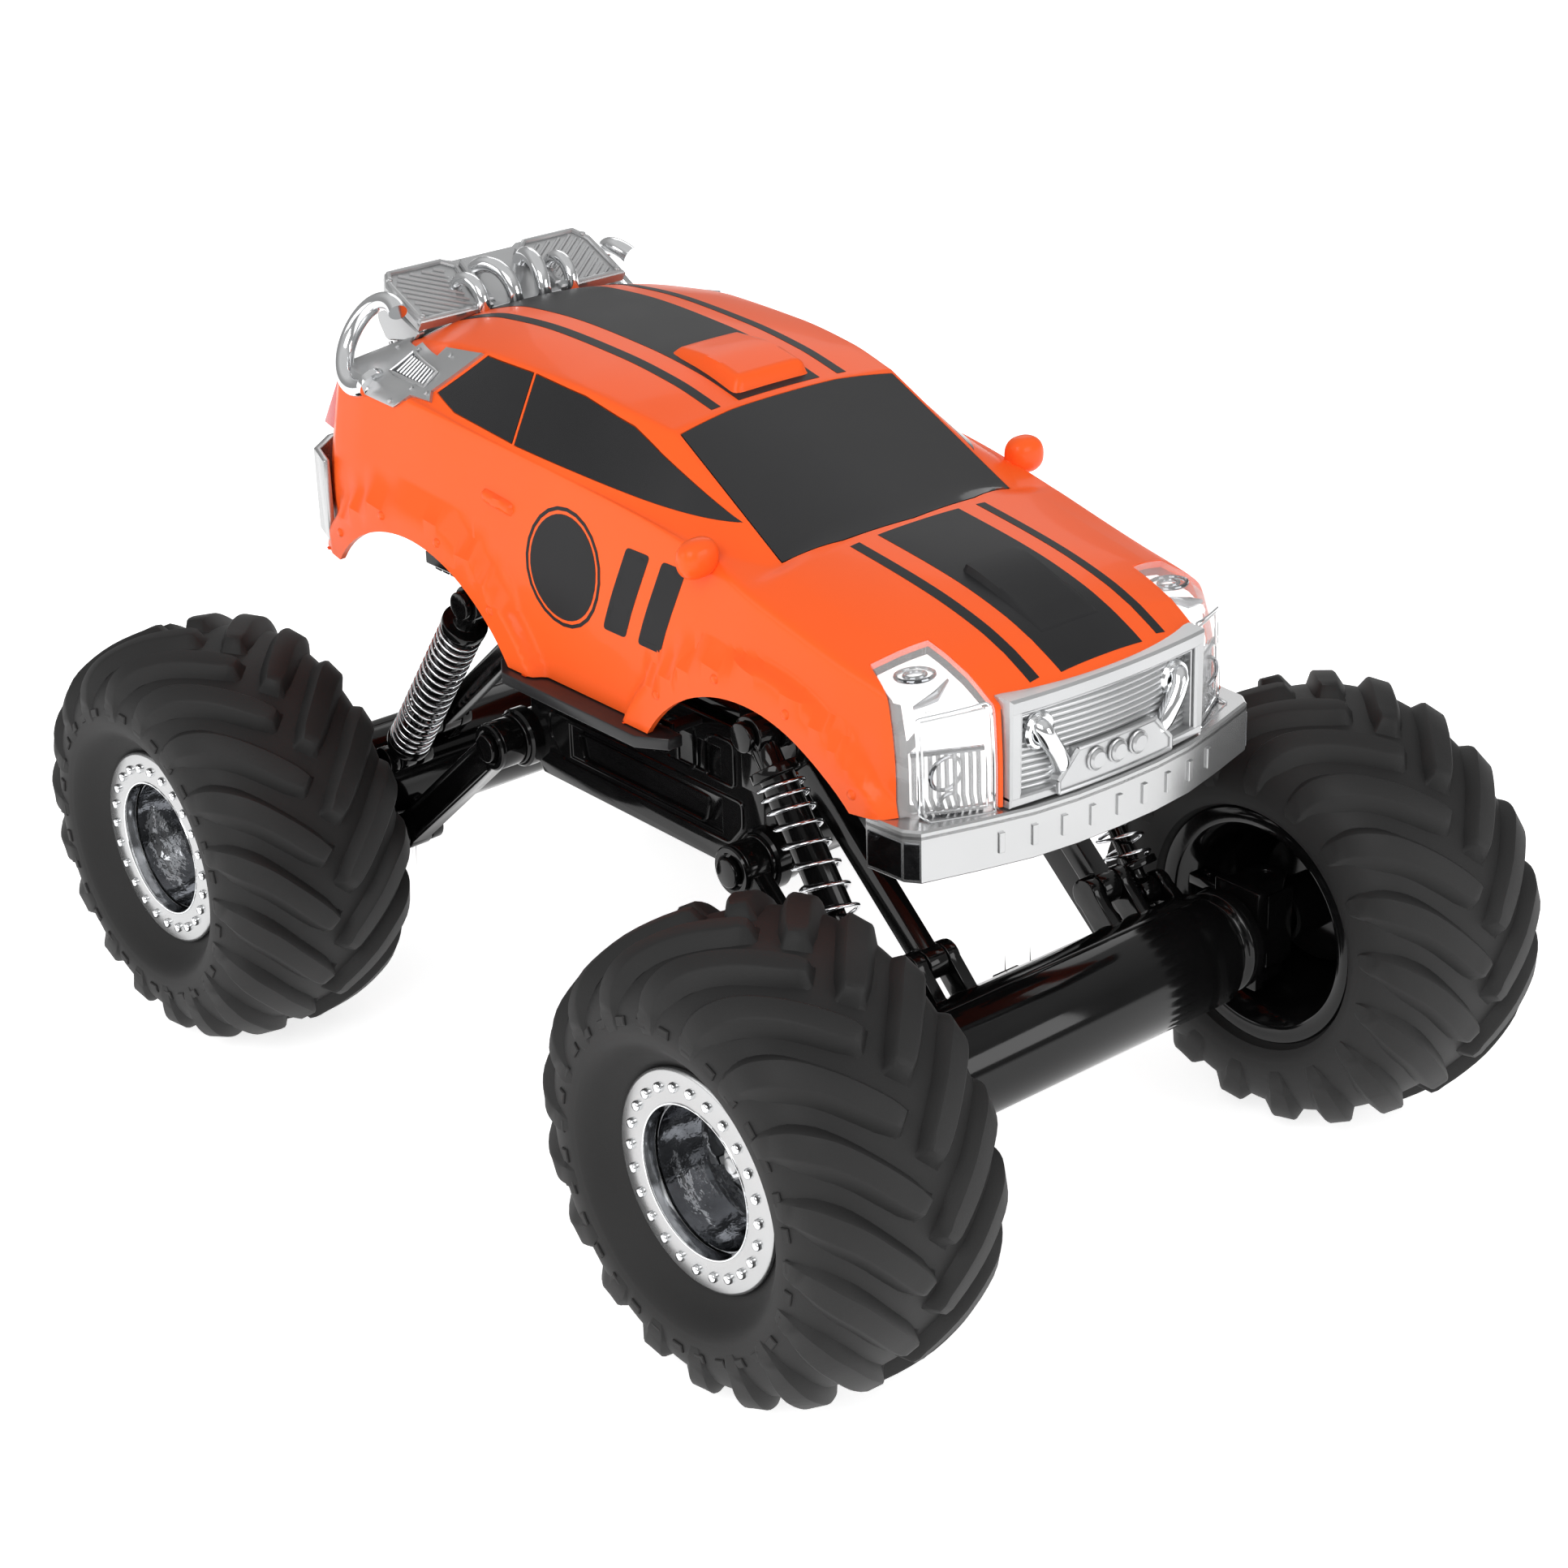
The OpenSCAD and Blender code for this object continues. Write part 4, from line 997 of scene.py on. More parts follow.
def make_body_trim():
    stripes = []
    for low, high in ((-121.6, -62.5), (-14.6, 86)):
        bands = [(-12.3, 12.3), (17.8, 20.5), (-20.5, -17.8)]
        for a, b in bands:
            end = low if low > -100 else low + 0.004 * max(abs(a), abs(b)) ** 2
            stripes.append(laid([(a, end), (b, end), (b, high), (a, high)], drop, 0.1, 2.6, 0.35))
    on_chassis("hood_and_roof_stripes", stripes, "stripe", "satin_black")

    door = []
    for side in SIDES:
        look = on_side(side)
        door.append(laid(circle(*DISC_AT, 12.6, 40), look, 0.1, 3, 0.3))
        for k in range(24):
            a0, a1 = 2 * math.pi * k / 24, 2 * math.pi * (k + 1) / 24
            quad = [(DISC_AT[0] + r * math.cos(a), DISC_AT[1] + r * math.sin(a)) for r, a in
                    ((RING_IN, a0), (RING_OUT, a0), (RING_OUT, a1), (RING_IN, a1))]
            door.append(laid(quad, look, 0.1, 3, 0.3))
        for y in (-16.5, -29.5):
            bar = [(y - 0.2, 156.4), (y - 8.6, 156.4), (y - 1.6, 135.2), (y + 6.8, 135.2)]
            door.append(laid(rounded(bar, 1.2), look, 0.1, 3, 0.3))
            rim = inset(np.array(bar)[::-1], -1.0)[::-1]
            outer = inset(np.array(bar)[::-1], -1.5)[::-1]
            for k in range(4):
                j = (k + 1) % 4
                door.append(laid([tuple(rim[k]), tuple(outer[k]), tuple(outer[j]), tuple(rim[j])], look, 0.1, 3, 0.3))
    on_chassis("door_graphics", door, "stripe", "satin_black")

    small = []
    for side in SIDES:
        look = on_side(side)
        for cy, cz, r in ARCHES:
            for a in np.radians((22, 50, 78, 106, 134, 160)):
                y, z = cy + (r + 4.2) * math.cos(a), cz + (r + 4.2) * math.sin(a)
                small.append(raised_pad(look, circle(y, z, 1.35, 14), lambda *_: 0.55, 0.5, 0.5))
        handle = rounded([(26.6, 152.2), (38.8, 153.4), (38.8, 157.0), (26.6, 155.8)], 1.5)
        small.append(raised_pad(look, handle, lambda *_: 1.15, 0.8, 0.7))
    scoop = rounded([(-11.8, -12.5), (11.8, -12.5), (10.6, 13.5), (-10.6, 13.5)], 2.2)
    small.append(raised_pad(drop, scoop, lambda x, y: 3.3 * (1 - ramp(y, -2, 15) * 0.55), 2.4, 0.9))
    on_chassis("body_raised_parts", small, "orange", "orange_shell", sharp=50)

    wedge = raised_pad(drop, [(-9.4, -112), (9.4, -112), (8.4, -85.6), (-8.4, -85.6)],
                       lambda x, y: 0.12 + 1.7 * ramp(y, -112, -86), 0.7, 0.8)
    place(new_piece("hood_scoop", *wedge, ["stripe"], sharp=50), "chassis", "satin_black")

    glass = laid([tuple(p) for p in inset(np.array(FRONT_GLASS), 0.25)], drop, 0.05, 2.4, 1.2)
    place(new_piece("windscreen_glass", *glass, ["glass"]), "chassis", "smoked_glass", "windscreen")
    rear = laid([tuple(p) for p in inset(np.array(REAR_GLASS, float), 0.25)], drop, 0.05, 2.4, 1.2)
    place(new_piece("rear_window_glass", *rear, ["glass"]), "chassis", "smoked_glass", "rear_window")
    panes = []
    for side in SIDES:
        for outline in (SIDE_GLASS_FRONT, SIDE_GLASS_REAR):
            pane = inset(np.array(outline, float)[::-1], 0.22)[::-1]
            panes.append(laid([tuple(p) for p in pane], on_side(side), 0.05, 2.4, 1.2))
    on_chassis("side_window_glass", panes, "glass", "smoked_glass", "side_windows")


make_body_trim()


# ---- Nose: lamps, grille and front bumper ----

def front_bow(x):
    """How far forward the nose stands at a distance from the middle."""
    return -123.4 + 0.0022 * x * x


def densified(outline, step):
    out = []
    for i, a in enumerate(outline):
        b = outline[(i + 1) % len(outline)]
        count = max(1, int(math.hypot(b[0] - a[0], b[1] - a[1]) / step))
        out.extend((a[0] + (b[0] - a[0]) * k / count, a[1] + (b[1] - a[1]) * k / count) for k in range(count))
    return out


def bowed(outline, front, depth, bevel=0.35, step=4.0):
    """A flat part drawn as (x, z), bent to the nose's curve, its face standing front ahead of it."""
    points, faces = prism(densified(outline, step), -front, depth, bevel, "y")
    return [(x, y + front_bow(x), z) for x, y, z in points], faces


def skin_pieces(name, thick, outlines, low, high, look, sharp=32):
    """The body's skin inside some outlines, as a piece of its own."""
    mesh = bpy.data.meshes.new(name)
    mesh.from_pydata([tuple(c * MM for c in p) for p in BODY[0]], [], BODY[1])
    mesh.materials.append(MAT[look])
    obj = bpy.data.objects.new(name, mesh)
    bpy.context.collection.objects.link(obj)
    group = bpy.data.collections.new(name + "_group")
    for outline in outlines:
        cutter(prism(outline, low, high, 0), group)
    hollowed(obj, thick, group, "INTERSECT")
    baked(obj, sharp)
    drop_group(group)
    return obj


def lamp_outline(side, gap):
    p = np.array([(x * side, y) for x, y in HEADLAMP])
    area = sum(p[i][0] * p[(i + 1) % len(p)][1] - p[(i + 1) % len(p)][0] * p[i][1] for i in range(len(p)))
    p = p if area > 0 else p[::-1]
    return [tuple(q) for q in inset(p, gap)]


def make_headlights():
    for side, where in ((1, "left"), (-1, "right")):
        lens = skin_pieces("headlight_lens_" + where, 1.1, [lamp_outline(side, 0.3)], 119.4, 158, "clear")
        place(lens, "chassis", "clear_lens", *(["headlight_lenses"] if side > 0 else []))
        face = [(side * x, z) for x, z in ((31.2, 120.0), (47.0, 120.0), (47.2, 143.0), (31.2, 145.4))]
        # The bowl's material has a painted glow that makes the plating read bright.
        bowl = joined([laid(lamp_outline(side, 1.0), drop, -3.2, 2.5, 0.8), laid(face, front_hit, -3.4, 2.5, 0.8)])
        place(new_piece("headlight_bowl_" + where, *bowl, ["lamp"]), "chassis", "chrome_trim",
              *(["headlight_reflectors"] if side > 0 else []))
        bits = []
        for i in range(9):
            x = side * (33.0 + i * 1.55)
            path = []
            for z in (120.4, 124, 128, 132, 134.6):
                hit = front_hit(x, z)[0]
                path.append((x, hit[1] + 2.6, z))
            bits.append(swept(path, 0.52, 8))
        for x, z, r in ((39.6, 129.6, 4.3), (39.2, 122.6, 2.6)):
            hit = front_hit(side * x, z)[0]
            ring = [(side * x + r * math.cos(a), hit[1] + 2.1 + 0.25 * (math.cos(a) * side), z + r * 0.86 * math.sin(a))
                    for a in np.linspace(0, 2 * math.pi, 33)[:-1]]
            bits.append(swept(ring, 0.5, 8, closed=True))
        for y, r in ((-103.6, 4.4), (-103.6, 2.4)):
            hit = drop(side * 38.6, y)[0]
            ring = [(side * 38.6 + r * math.cos(a), y + r * 0.9 * math.sin(a), hit[2] - 1.9 - 0.2 * math.sin(a))
                    for a in np.linspace(0, 2 * math.pi, 33)[:-1]]
            bits.append(swept(ring, 0.5, 8, closed=True))
        on_chassis("headlight_ribs_" + where, bits, "dark_chrome", "dark_chrome")
        rim = []
        for gap, lift in ((0.9, 0.05), (2.0, -0.5)):
            line = rounded([(31.6, 120.4), (46.0, 120.4), (46.2, 143.2), (31.6, 145.0)], 0.8)
            path = [(side * x, front_hit(side * x, z)[0][1] - lift, z) for x, z in densified(
                [tuple(q) for q in inset(line, gap - 0.9)], 2.5)]
            rim.append(swept(path, 0.3, 6, closed=True))
        on_chassis("headlight_lines_" + where, rim, "chrome", "chrome_trim")
        bar = [(side * x, front_hit(side * x, 134.8)[0][1] + 1.6, 134.8) for x in (32.5, 36, 40, 44, 46.5)]
        dark = [swept(bar, 0.7, 8)]
        hood = [(side * x, y, drop(side * x, y)[0][2] - 2.6) for x, y in ((33.6, -108.5), (38.5, -110), (44, -109))]
        dark.append(swept(hood, [0.5, 1.5, 0.5], 10, flat=0.5))
        on_chassis("headlight_shade_" + where, dark, "dark_chrome", "dark_chrome")


def make_grille():
    frame_parts = [bowed([(-29.6, 142.2), (29.6, 142.2), (29.6, 145.9), (-29.6, 145.9)], 2.3, 3.6, 0.6)]
    frame_parts.append(bowed([(-29.5, 120.9), (29.5, 120.9), (29.5, 123.2), (-29.5, 123.2)], 2.0, 4.6, 0.4))
    for side in SIDES:
        post = [(side * 26.7, 122.6), (side * 29.5, 122.6), (side * 29.5, 143.2), (side * 26.4, 143.2)]
        frame_parts.append(bowed(post, 2.2, 4.6, 0.5))
        lip = [(side * 25.9, 123), (side * 26.5, 123), (side * 26.2, 142.4), (side * 25.6, 142.4)]
        frame_parts.append(bowed(lip, 1.2, 4.4, 0.15))
    frame_parts.append(bowed([(-26.2, 141.5), (26.2, 141.5), (26.2, 142.2), (-26.2, 142.2)], 1.2, 4.4, 0.15))
    on_chassis("grille_frame", frame_parts, "silver", "chrome_trim", "grille")

    cols, rows = 29, []
    count = 13
    for i in range(count * 8 + 1):
        z = 122.8 + 19.6 * i / (count * 8)
        wave = 0.75 * abs(math.sin(math.pi * i / 8)) ** 0.6
        rows.append((z, wave))
    points = []
    for z, wave in rows:
        for j in range(cols):
            x = -26.6 + 53.2 * j / (cols - 1)
            points.append((x, front_bow(x) - 0.2 + 1.8 * (x / 26.6) ** 2 - wave, z))
    total = len(points)
    faces = [tuple(reversed(f)) for f in grid_faces(len(rows), cols)]
    for z, _ in (rows[0], rows[-1]):
        points.extend((-26.6 + 53.2 * j / (cols - 1), front_bow(26.6) + 4.4, z) for j in range(cols))
    low, high = total, total + cols
    faces.extend((low + j, low + j + 1, high + j + 1, high + j) for j in range(cols - 1))
    last = (len(rows) - 1) * cols
    faces.extend((j, low + j, low + j + 1, j + 1)[::-1] for j in range(cols - 1))
    faces.extend((last + j, last + j + 1, high + j + 1, high + j)[::-1] for j in range(cols - 1))
    for j in (0, cols - 1):
        side = [i * cols + j for i in range(len(rows))] + [high + j, low + j]
        faces.append(tuple(side) if j else tuple(reversed(side)))
    place(new_piece("grille_ribs", points, faces, ["silver"], sharp=50), "chassis", "chrome_trim")

    bits = []
    for side in SIDES:
        ring = [(side * 20.6 + 3.1 * math.cos(a), front_bow(20.6) - 0.2, 136.6 + 3.3 * math.sin(a))
                for a in np.linspace(0, 2 * math.pi, 41)[:-1]]
        bits.append(swept(ring, 1.15, 10, closed=True))
        path = catmull([(side * 21.2, front_bow(21) + 2.2, 138.4), (side * 20.9, front_bow(21) - 1.5, 137.4),
                        (side * 19.6, front_bow(20) - 2.4, 134.6), (side * 17.2, front_bow(17) - 2.2, 130.8),
                        (side * 15.4, front_bow(15) - 1.2, 127.4), (side * 15, front_bow(15) + 2.0, 125.6)], 6)
        bits.append(swept(path, 2.15, 16))
    on_chassis("grille_tow_pipes", bits, "chrome", "chrome_trim")

    bar = [(-17.2, 121.6), (17.2, 121.6), (17.2, 124.4), (11.8, 130.4), (-11.8, 130.4), (-17.2, 124.4)]
    parts = [bowed(bar, 2.6, 4.0, 0.4)]
    edges = list(zip(bar, bar[1:] + bar[:1]))
    for a, b in edges:
        path = [(a[0] + (b[0] - a[0]) * k / 6, a[1] + (b[1] - a[1]) * k / 6) for k in range(7)]
        parts.append(swept([(x, front_bow(x) - 2.7, z) for x, z in path], 0.55, 8))
    for x in (-6.4, 0, 6.4):
        parts.append(bowed(circle(x, 126.6, 2.25, 28), 3.9, 0, 0.5, 9))
        ring = [(a, front_bow(x) - 2.8, b) for a, b in circle(x, 126.6, 2.5, 32)]
        parts.append(swept(ring, 0.35, 6, closed=True))
    on_chassis("grille_lamp_bar", parts, "silver", "chrome_trim")


# Plain upright ribs along the bumper's face
BUMPER_RIBS, RIB_PITCH = 9, 8.0
# Left half of the bumper's front edge, as (x, y)
BUMPER = [(53.4, -104), (52.6, -114.6), (50.2, -118.0), (37, -121.9), (24, -125.2), (12, -126.6), (0, -126.9)]


def bumper_front(x):
    xs = [p[0] for p in reversed(BUMPER)]
    return float(np.interp(abs(x), xs, [p[1] for p in reversed(BUMPER)]))


def make_front_bumper():
    right = [(-x, y) for x, y in reversed(BUMPER[:-1])]
    outer = BUMPER + right
    inner = [(-51.2, -104), (-50.4, -113.8), (-48.6, -116), (-36.4, -119.6), (-23.6, -122.8), (-12, -124.2),
             (0, -124.5)]
    inner = inner + [(-x, y) for x, y in reversed(inner[:-1])]
    wall = prism(outer + inner, 108.2, 119.6, 0.35)
    ledge_in = [(-46, -104), (-45, -110), (-28, -116.6), (28, -116.6), (45, -110), (46, -104)]
    ledge = prism(outer + ledge_in, 118.0, 120.5, 0.5)
    on_chassis("front_bumper_bar", [wall, ledge], "pale", "satin_silver", "front_bumper", sharp=9)
    ends = []
    for side in SIDES:
        a, b = (53.55, -104.6), (52.75, -114.4)
        quad = [(a[0] - 0.5, a[1]), (a[0], a[1]), (b[0], b[1]), (b[0] - 0.5, b[1])]
        ends.append(prism([(side * x, y) for x, y in quad], 109.2, 117.6, 0.1))
        a, b = (52.7, -115.2), (50.6, -117.9)
        quad = [(a[0] - 0.5, a[1]), (a[0], a[1]), (b[0], b[1]), (b[0] - 0.3, b[1] + 0.5)]
        ends.append(prism([(side * x, y) for x, y in quad], 109.2, 117.6, 0.1))
    on_chassis("front_bumper_ends", ends, "dark_chrome", "dark_chrome")
    parts = []
    for i in range(BUMPER_RIBS):
        x = (i - (BUMPER_RIBS - 1) / 2) * RIB_PITCH
        rib = [(x - 0.7, 111.6), (x + 0.7, 111.6), (x + 0.7, 116.4), (x - 0.7, 116.4)]
        points, faces = prism(densified(rib, 3), -0.55, 0.4, 0.12, "y")
        parts.append(([(x, y + bumper_front(x), z) for x, y, z in points], faces))
    on_chassis("front_bumper_bars", parts, "pale", "satin_silver")


# ---- Roof's engine panel, hoops, pipes and vents ----

PANEL_FOOT = (86.0, 183.2)
PANEL_RUN = (0.9044, 0.4267)


def on_panel(part):
    """Takes a part drawn flat (x, up the slope, out of it) onto the sloping engine panel."""
    c, s = PANEL_RUN
    points, faces = part
    return [(x, PANEL_FOOT[0] + v * c - w * s, PANEL_FOOT[1] + v * s + w * c) for x, v, w in points], faces


def make_engine_panel():
    edge = [(-32.2, 0.4), (32.2, 0.4), (32.2, 16.4), (29.4, 21.2), (11.4, 21.2), (9.6, 20.2), (-9.6, 20.2),
            (-11.4, 21.2), (-29.4, 21.2), (-32.2, 16.4)]
    parts = [prism(edge, -2.6, 0.0, 0.4)]
    for side in SIDES:
        bay = [(31.2, 1.2), (31.2, 16.0), (28.9, 20.2), (13.2, 20.2), (10.2, 17.4), (12.6, 1.2)]
        bay = [(side * x, v) for x, v in bay]
        parts.append(swept([(x, v, 0.25) for x, v in densified(bay, 3)], 0.75, 8, closed=True))
        for i in range(13):
            v0, x0 = -7.0 + i * 2.35, 14.2
            path = []
            for k in range(29):
                x, v = x0 + k * 0.58, v0 + k * 0.42
                if 2.2 < v < 18.9 and x < 29.6 - max(0, v - 15.5) * 0.6 and x > 13.4:
                    path.append((side * x, v, 0.1))
            if len(path) > 2:
                parts.append(swept(path[::2] if len(path) > 5 else path, 0.46, 6))
        wall = [(side * x, v) for x, v in ((9.6, 1.0), (11.8, 1.0), (9.6, 17.0), (7.8, 17.0))]
        parts.append(prism(wall, -0.4, 2.3, 0.4))
        block = [(side * x, v) for x, v in ((10.6, -0.6), (15.2, -0.6), (15.2, 1.8), (10.6, 1.8))]
        parts.append(prism(block, -1.2, 2.0, 0.45))
        for x, v in ((30.4, 17.6), (30.6, 2.0)):
            parts.append(moved(knob(0.8, 0, 1.0, 14), Matrix.Translation((side * x, v, 0.2))
                               @ Matrix.Rotation(-math.pi / 2, 4, "Y")))
    parts.append(prism([(-11, -0.9), (11, -0.9), (11, 0.9), (-11, 0.9)], -1.6, 0.9, 0.4))
    back = [(-32.2, 0.2), (32.2, 0.2), (32.2, 1.4), (-32.2, 1.4)]
    parts.append(prism(back, -1.0, 0.7, 0.3))
    solid = [on_panel(p) for p in parts]
    for side in SIDES:
        leg = prism([(103.4, 171), (106, 171), (106, 189.4), (103.4, 189.4)], 24, 28, 0.5, "x")
        solid.append(leg if side > 0 else mirrored(leg))
        cheek = prism(rounded([(88, 180.4), (106.6, 187.4), (106.8, 180), (103.5, 175.4), (90.2, 178)], 1.0), 29.4,
                      31.6, 0.4, "x")
        solid.append(cheek if side > 0 else mirrored(cheek))
    on_chassis("engine_panel_detail", solid, "silver", "satin_silver", "engine_panel")
    dark = [on_panel(prism([(-8.4, 1.0), (8.4, 1.0), (7.4, 19.4), (-7.4, 19.4)], -0.2, 0.35, 0.1))]
    on_chassis("engine_panel_well", dark, "silver", "satin_silver")


def half_ring(x, y, z, radius, tube, start, end, turn=0.0, sides=16):
    path = []
    for a in np.radians(np.linspace(start, end, 41)):
        along, up = radius * math.cos(a), radius * math.sin(a)
        path.append((x - along * math.sin(turn), y + along * math.cos(turn), z + up))
    return swept(path, tube, sides)


def make_pipes():
    parts = []
    for side in SIDES:
        parts.append(half_ring(side * 6.2, 92.0, 184.2, 8.1, 2.1, -8, 186, side * -0.22))
        parts.append(half_ring(side * 14.4, 90.6, 184.6, 5.9, 1.8, -10, 190, side * -0.08))
        loop = [(side * (41.6 - 6.0 * math.sin(a)), 94.6 + 9.8 * math.cos(a), 178.4 + 9.8 * math.sin(a))
                for a in np.radians(np.linspace(-128, 122, 51))]
        parts.append(swept(loop, 2.4, 20))
        flange = moved(knob(4.0, -0.8, 1.2, 28), Matrix.Translation((side * 46.4, 88.2, 171.0))
                       @ Matrix.Rotation(math.radians(30), 4, "X") @ Matrix.Rotation(math.pi / 2, 4, "Z"))
        parts.append(flange)
    on_chassis("exhaust_hoops_detail", parts, "chrome", "chrome_trim", "exhaust_hoops")


VENT = [(52.6, 184.0), (68.6, 181.8), (70.2, 179.6), (81.3, 179.8), (82.7, 178.6), (95.4, 178.0), (105.4, 174.2),
        (104.0, 170.8), (98.7, 168.4), (76.0, 167.9), (70.9, 171.2), (63.3, 171.4), (64.8, 173.4)]


def make_vents():
    parts, slots = [], []
    for side in SIDES:
        look = on_side(side)
        parts.append(laid(VENT, look, 0.9, 2.0, 2.2))
        window = [(67.8, 173.6), (83.8, 173.4), (81.0, 177.9), (66.1, 177.0)]
        slots.append(laid(window, look, 1.0, 2.0, 0.4))
        ring = []
        for a, b in densified(window, 1.5):
            hit, normal = look(a, b)
            ring.append(tuple(hit + normal * 1.2))
        parts.append(swept(ring, 0.5, 8, closed=True))
        for i in range(9):
            y = 69.0 + i * 1.5
            rail = []
            for k in range(4):
                hit, normal = look(y - k * 0.45, 173.9 + k * 1.1)
                rail.append(tuple(hit + normal * 1.25))
            parts.append(swept(rail, 0.34, 6))
        for a, b in ((64.6, 180.8), (65.8, 172.6), (79.8, 178.6), (90.6, 176.6), (102.4, 173.6), (97.8, 169.8),
                     (77.0, 169.3), (72.0, 172.4)):
            hit, normal = look(a, b)
            turn = Vector((1, 0, 0)).rotation_difference(Vector(normal)).to_matrix().to_4x4()
            parts.append(moved(knob(0.62, 0, 0.7, 12, 0.15), Matrix.Translation(Vector(hit + normal * 0.85)) @ turn))
    on_chassis("side_vents_detail", parts, "silver", "satin_silver", "side_vents")
    on_chassis("side_vent_slots", slots, "dark_chrome", "dark_chrome")


def make_mirrors():
    parts = []
    rows, cols = 15, 24
    points = []
    for i in range(rows):
        a = math.pi * (i + 0.5) / rows
        for j in range(cols):
            b = 2 * math.pi * j / cols
            r = math.sin(a) ** 0.72
            c, s = math.cos(b), math.sin(b)
            points.append((50.0 - 5.0 * math.copysign(abs(math.cos(a)) ** 0.85, math.cos(a)),
                           -44.4 + 3.6 * r * math.copysign(abs(c) ** 0.85, c) - 0.5,
                           162.0 + 4.6 * r * math.copysign(abs(s) ** 0.85, s) + 0.35 * math.cos(a)))
    faces = grid_faces(rows, cols, close_cols=True)
    faces.append(tuple(reversed(range(cols))))
    faces.append(tuple(range((rows - 1) * cols, rows * cols)))
    stalk = swept([(44.6, -44.4, 158.6), (46.6, -44.4, 160.0), (48.6, -44.3, 161.6), (50.0, -44.2, 162.6)],
                  [2.4, 2.0, 1.8, 1.6], 14)
    pod = joined([(points, faces), stalk])
    place(new_piece("mirror_pods", *both(pod), ["orange"], sharp=60), "chassis", "orange_shell", "mirrors")


make_headlights()
make_grille()
make_front_bumper()
make_engine_panel()
make_pipes()
make_vents()
make_mirrors()


# ---- Chassis and suspension mouldings with broken edges ----

def body_name(obj):
    return body_of(obj)[0]


def crisp(node, look, slot, width=0.35, angle=38):
    """The drawn part again, cleaned into large faces and given rounded edges."""
    source = frame["nodes"][node]
    mesh = source.data.copy()
    mesh.name = node + "_moulding"
    bm = bmesh.new()
    bm.from_mesh(mesh)
    bmesh.ops.remove_doubles(bm, verts=bm.verts, dist=2e-6)
    bmesh.ops.dissolve_limit(bm, angle_limit=math.radians(1.2), verts=bm.verts, edges=bm.edges)
    bm.to_mesh(mesh)
    bm.free()
    mesh.materials.clear()
    mesh.materials.append(MAT[look])
    mesh.polygons.foreach_set("material_index", [0] * len(mesh.polygons))
    obj = bpy.data.objects.new(node + "_moulding", mesh)
    bpy.context.collection.objects.link(obj)
    obj.matrix_world = source.matrix_world.copy()
    bpy.context.view_layer.update()
    edge = obj.modifiers.new("edge", "BEVEL")
    edge.width = width * MM
    edge.segments = 2
    edge.limit_method = "ANGLE"
    edge.angle_limit = math.radians(angle)
    edge.use_clamp_overlap = False
    baked(obj, 34)
    place(obj, body_name(source), slot, node)


def make_mouldings():
    plain = {"chassis_tub": "gloss", "chassis_lid": "gloss", "side_steps": "satin", "rear_bumper": "pale",
             "chassis_screws": "gloss", "battery_door": "satin", "tail_lamps": "red", "knuckle_left": "gloss",
             "knuckle_right": "gloss", "tie_rod": "gloss"}
    slots = {"gloss": "gloss_black", "satin": "satin_black", "pale": "chrome_trim", "red": "red_lens"}
    for node, look in plain.items():
        crisp(node, look, slots[look])
    for end in ("front", "rear"):
        for part in ("lower_arms", "upper_links", "axle_case", "axle_cover", "shock_cylinders", "shock_rods"):
            crisp(part + "_" + end, "gloss", "gloss_black", 0.3)


make_mouldings()


def outline_rib(points, x, radius=0.45):
    path = [(x, a, b) for a, b in rounded(points, 1.6, 3)]
    return swept(path, radius, 6, closed=True)


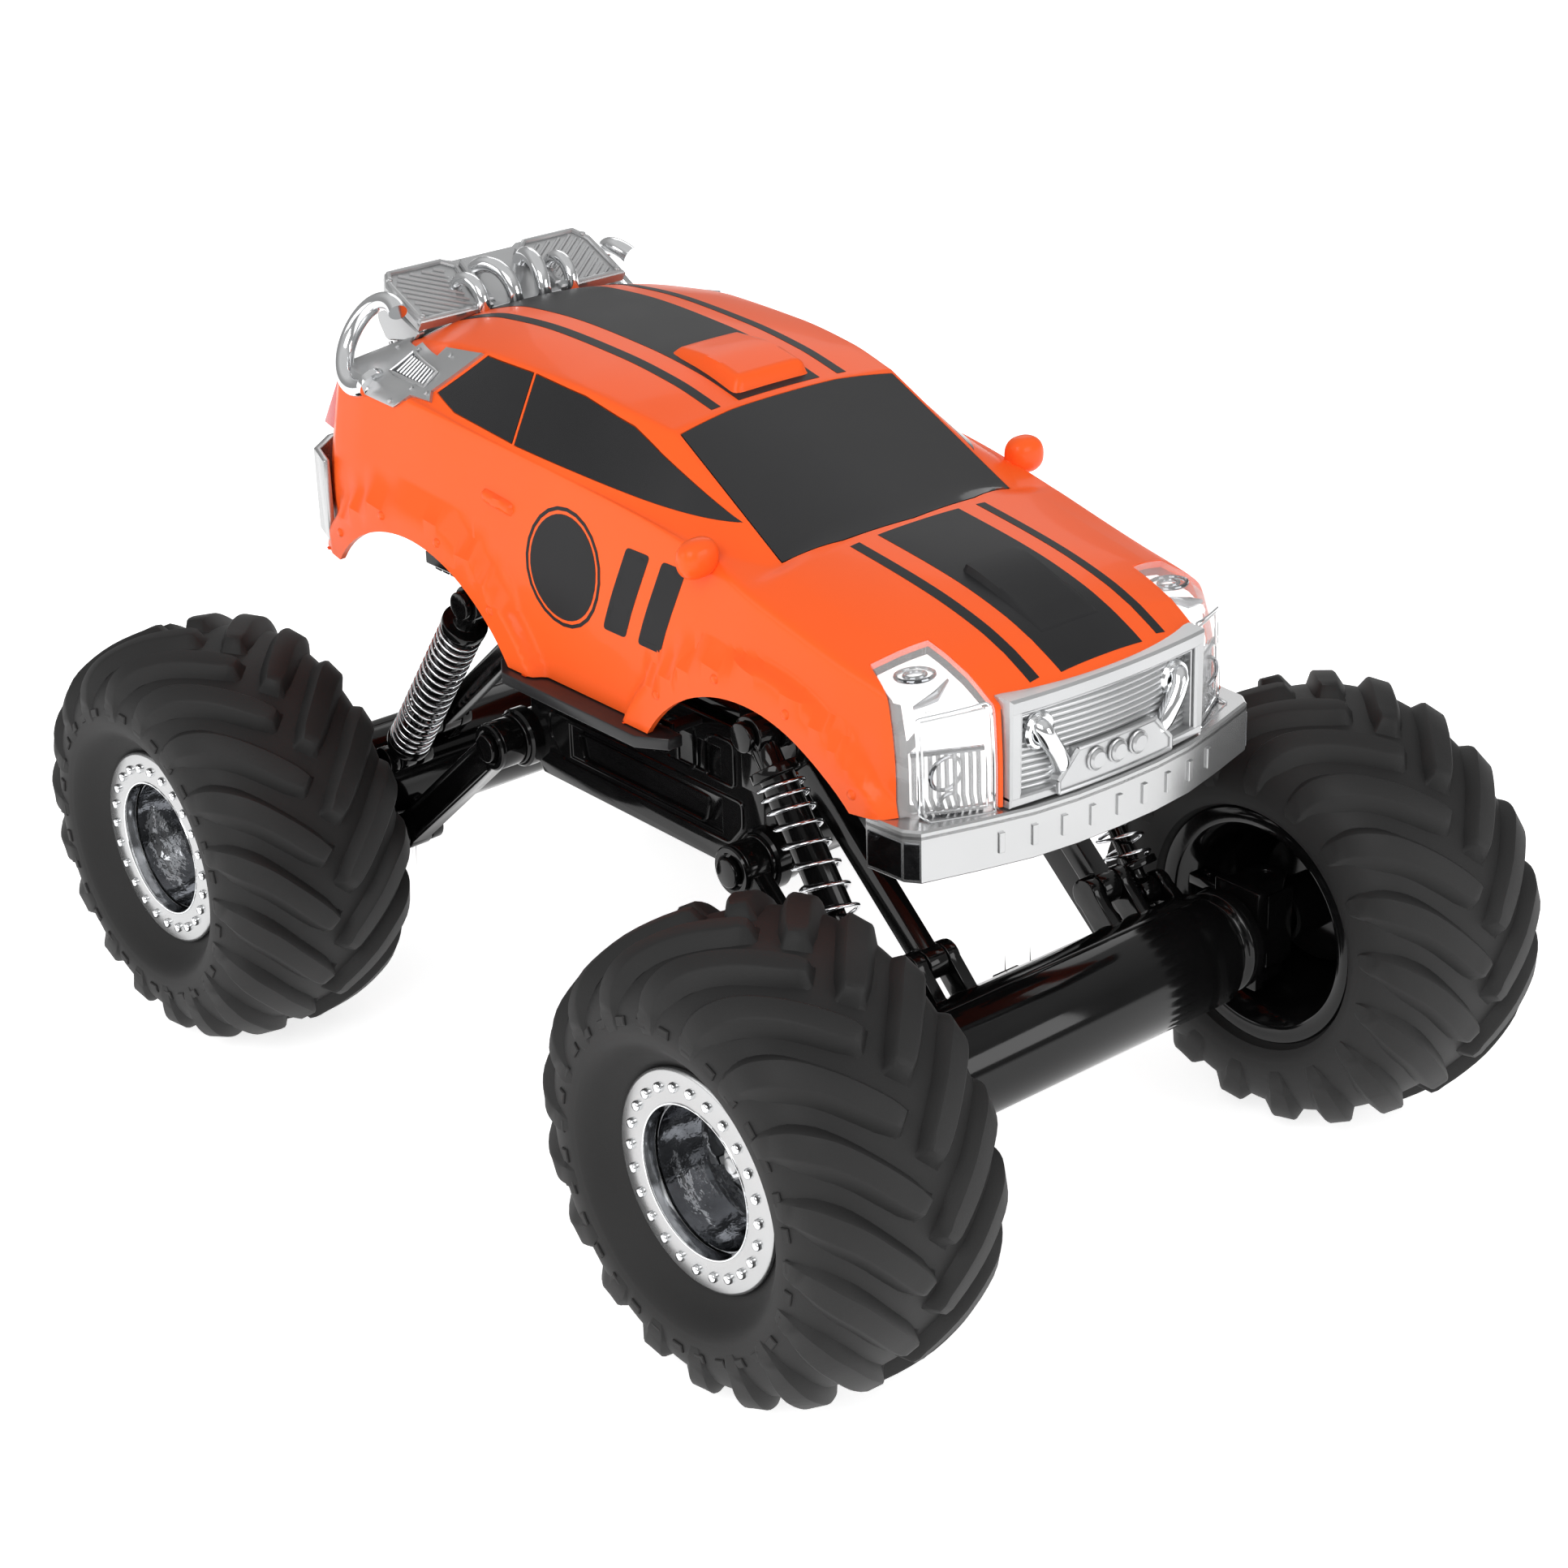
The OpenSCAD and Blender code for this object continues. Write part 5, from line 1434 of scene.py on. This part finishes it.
def make_chassis_detail():
    parts = []
    x = 34.02
    for i in range(-2, 3):
        y = i * 15.0
        window = [(y - 5.4, 97.5), (y + 5.4, 97.5), (y + 5.4, 107.5), (y + 1.8, 109), (y - 5.4, 109)]
        parts.append(outline_rib(window, x))
    parts.append(outline_rib([(-38, 94.5), (38, 94.5), (38, 88), (33, 82.4), (-33, 82.4), (-38, 88)], x))
    parts.append(outline_rib([(-26, 92), (26, 92), (24, 85), (-24, 85)], x))
    for s in (-1, 1):
        collar = turned([(6.6, 34), (7.6, 34), (7.6, 37.2), (7.0, 37.8), (6.6, 37.6)], 48)
        parts.append(moved(collar, Matrix.Translation((0, s * 48, 84.5))))
        for z in (104.5, 121):
            bolt = moved(knob(1.3, 35.7, 36.6, 18), Matrix.Translation((0, s * 47.5, z)))
            parts.append(bolt)
    parts.append(prism([(-30, 115.0), (30, 115.0), (30, 116.4), (-30, 116.4)], 46.8, 47.6, 0.2, "x"))
    place(new_piece("chassis_ribs", *both(joined(parts)), ["gloss"]), "chassis", "gloss_black")

    parts = []
    for s in (-1, 1):
        for k in range(6):
            y = s * (73 + k * 3.4)
            slat = [(12, y - 1.1), (30, y - 1.1), (30, y + 1.1), (12, y + 1.1)]
            parts.append(prism(slat, 116.0, 124 + 0.8 * k, 0.4))
        shelf = [(10, s * 70), (31.4, s * 70), (31.4, s * 93), (10, s * 93)]
        parts.append(prism(shelf[::s], 117.5, 121.5, 0.5))
    place(new_piece("body_mount_boxes", *both(joined(parts)), ["gloss"]), "chassis", "gloss_black")


def make_arm_detail():
    for end, s in (("front", -1), ("rear", 1)):
        axis = np.array([0, s * 93 - s * 48, 45 - 84.5])
        length = np.linalg.norm(axis)
        axis = axis / length
        across = np.array([0, -axis[2], axis[1]])
        a = np.array([0, s * 48, 84.5])
        parts = []
        for off in (-3.5, 3.5):
            rail = [a + axis * 7.6 + across * off * 0.9, a + axis * (length - 6.4) + across * off * 0.9]
            parts.append(swept([tuple(p + np.array([44.9, 0, 0])) for p in rail], 0.55, 8))
        ring = turned([(4.2, 45.0), (6.1, 45.0), (6.1, 45.9), (5.7, 46.3), (4.6, 46.3), (4.2, 45.9)], 48)
        parts.append(moved(ring, Matrix.Translation((0, s * 48, 84.5))))
        place(new_piece("lower_arm_ribs_" + end, *both(joined(parts)), ["gloss"]),
              body_name(frame["nodes"]["lower_arms_" + end]), "gloss_black")


make_chassis_detail()
make_arm_detail()


# ---- Carried-over CAD nodes ----

SLOT_LOOK = {"orange_shell": "orange", "smoked_glass": "glass", "clear_lens": "clear", "chrome_trim": "chrome",
             "satin_silver": "silver", "dark_chrome": "dark_chrome", "red_lens": "red", "gloss_black": "gloss",
             "satin_black": "satin", "tyre_rubber": "rubber", "spring_wire": "wire", "steel": "steel",
             "motor_can": "can", "brass": "brass", "board": "board", "cell_wrap": "wrap"}


def finish_nodes():
    for obj in frame["nodes"].values():
        for slot in obj.material_slots:
            key = slot.material.name.split(".")[0] if slot.material else ""
            slot.material = MAT[SLOT_LOOK.get(key, "gloss")]


def make_floor():
    size = 5000
    shader = MAT["floor"].node_tree.nodes["Principled BSDF"]
    shader.inputs["Emission Color"].default_value = (1, 1, 1, 1)
    shader.inputs["Emission Strength"].default_value = 0.75
    obj = new_piece("studio_floor", [(-size, -size, -0.4), (size, -size, -0.4), (size, size, -0.4),
                                     (-size, size, -0.4)], [(0, 1, 2, 3)], ["floor"])


finish_nodes()
make_floor()
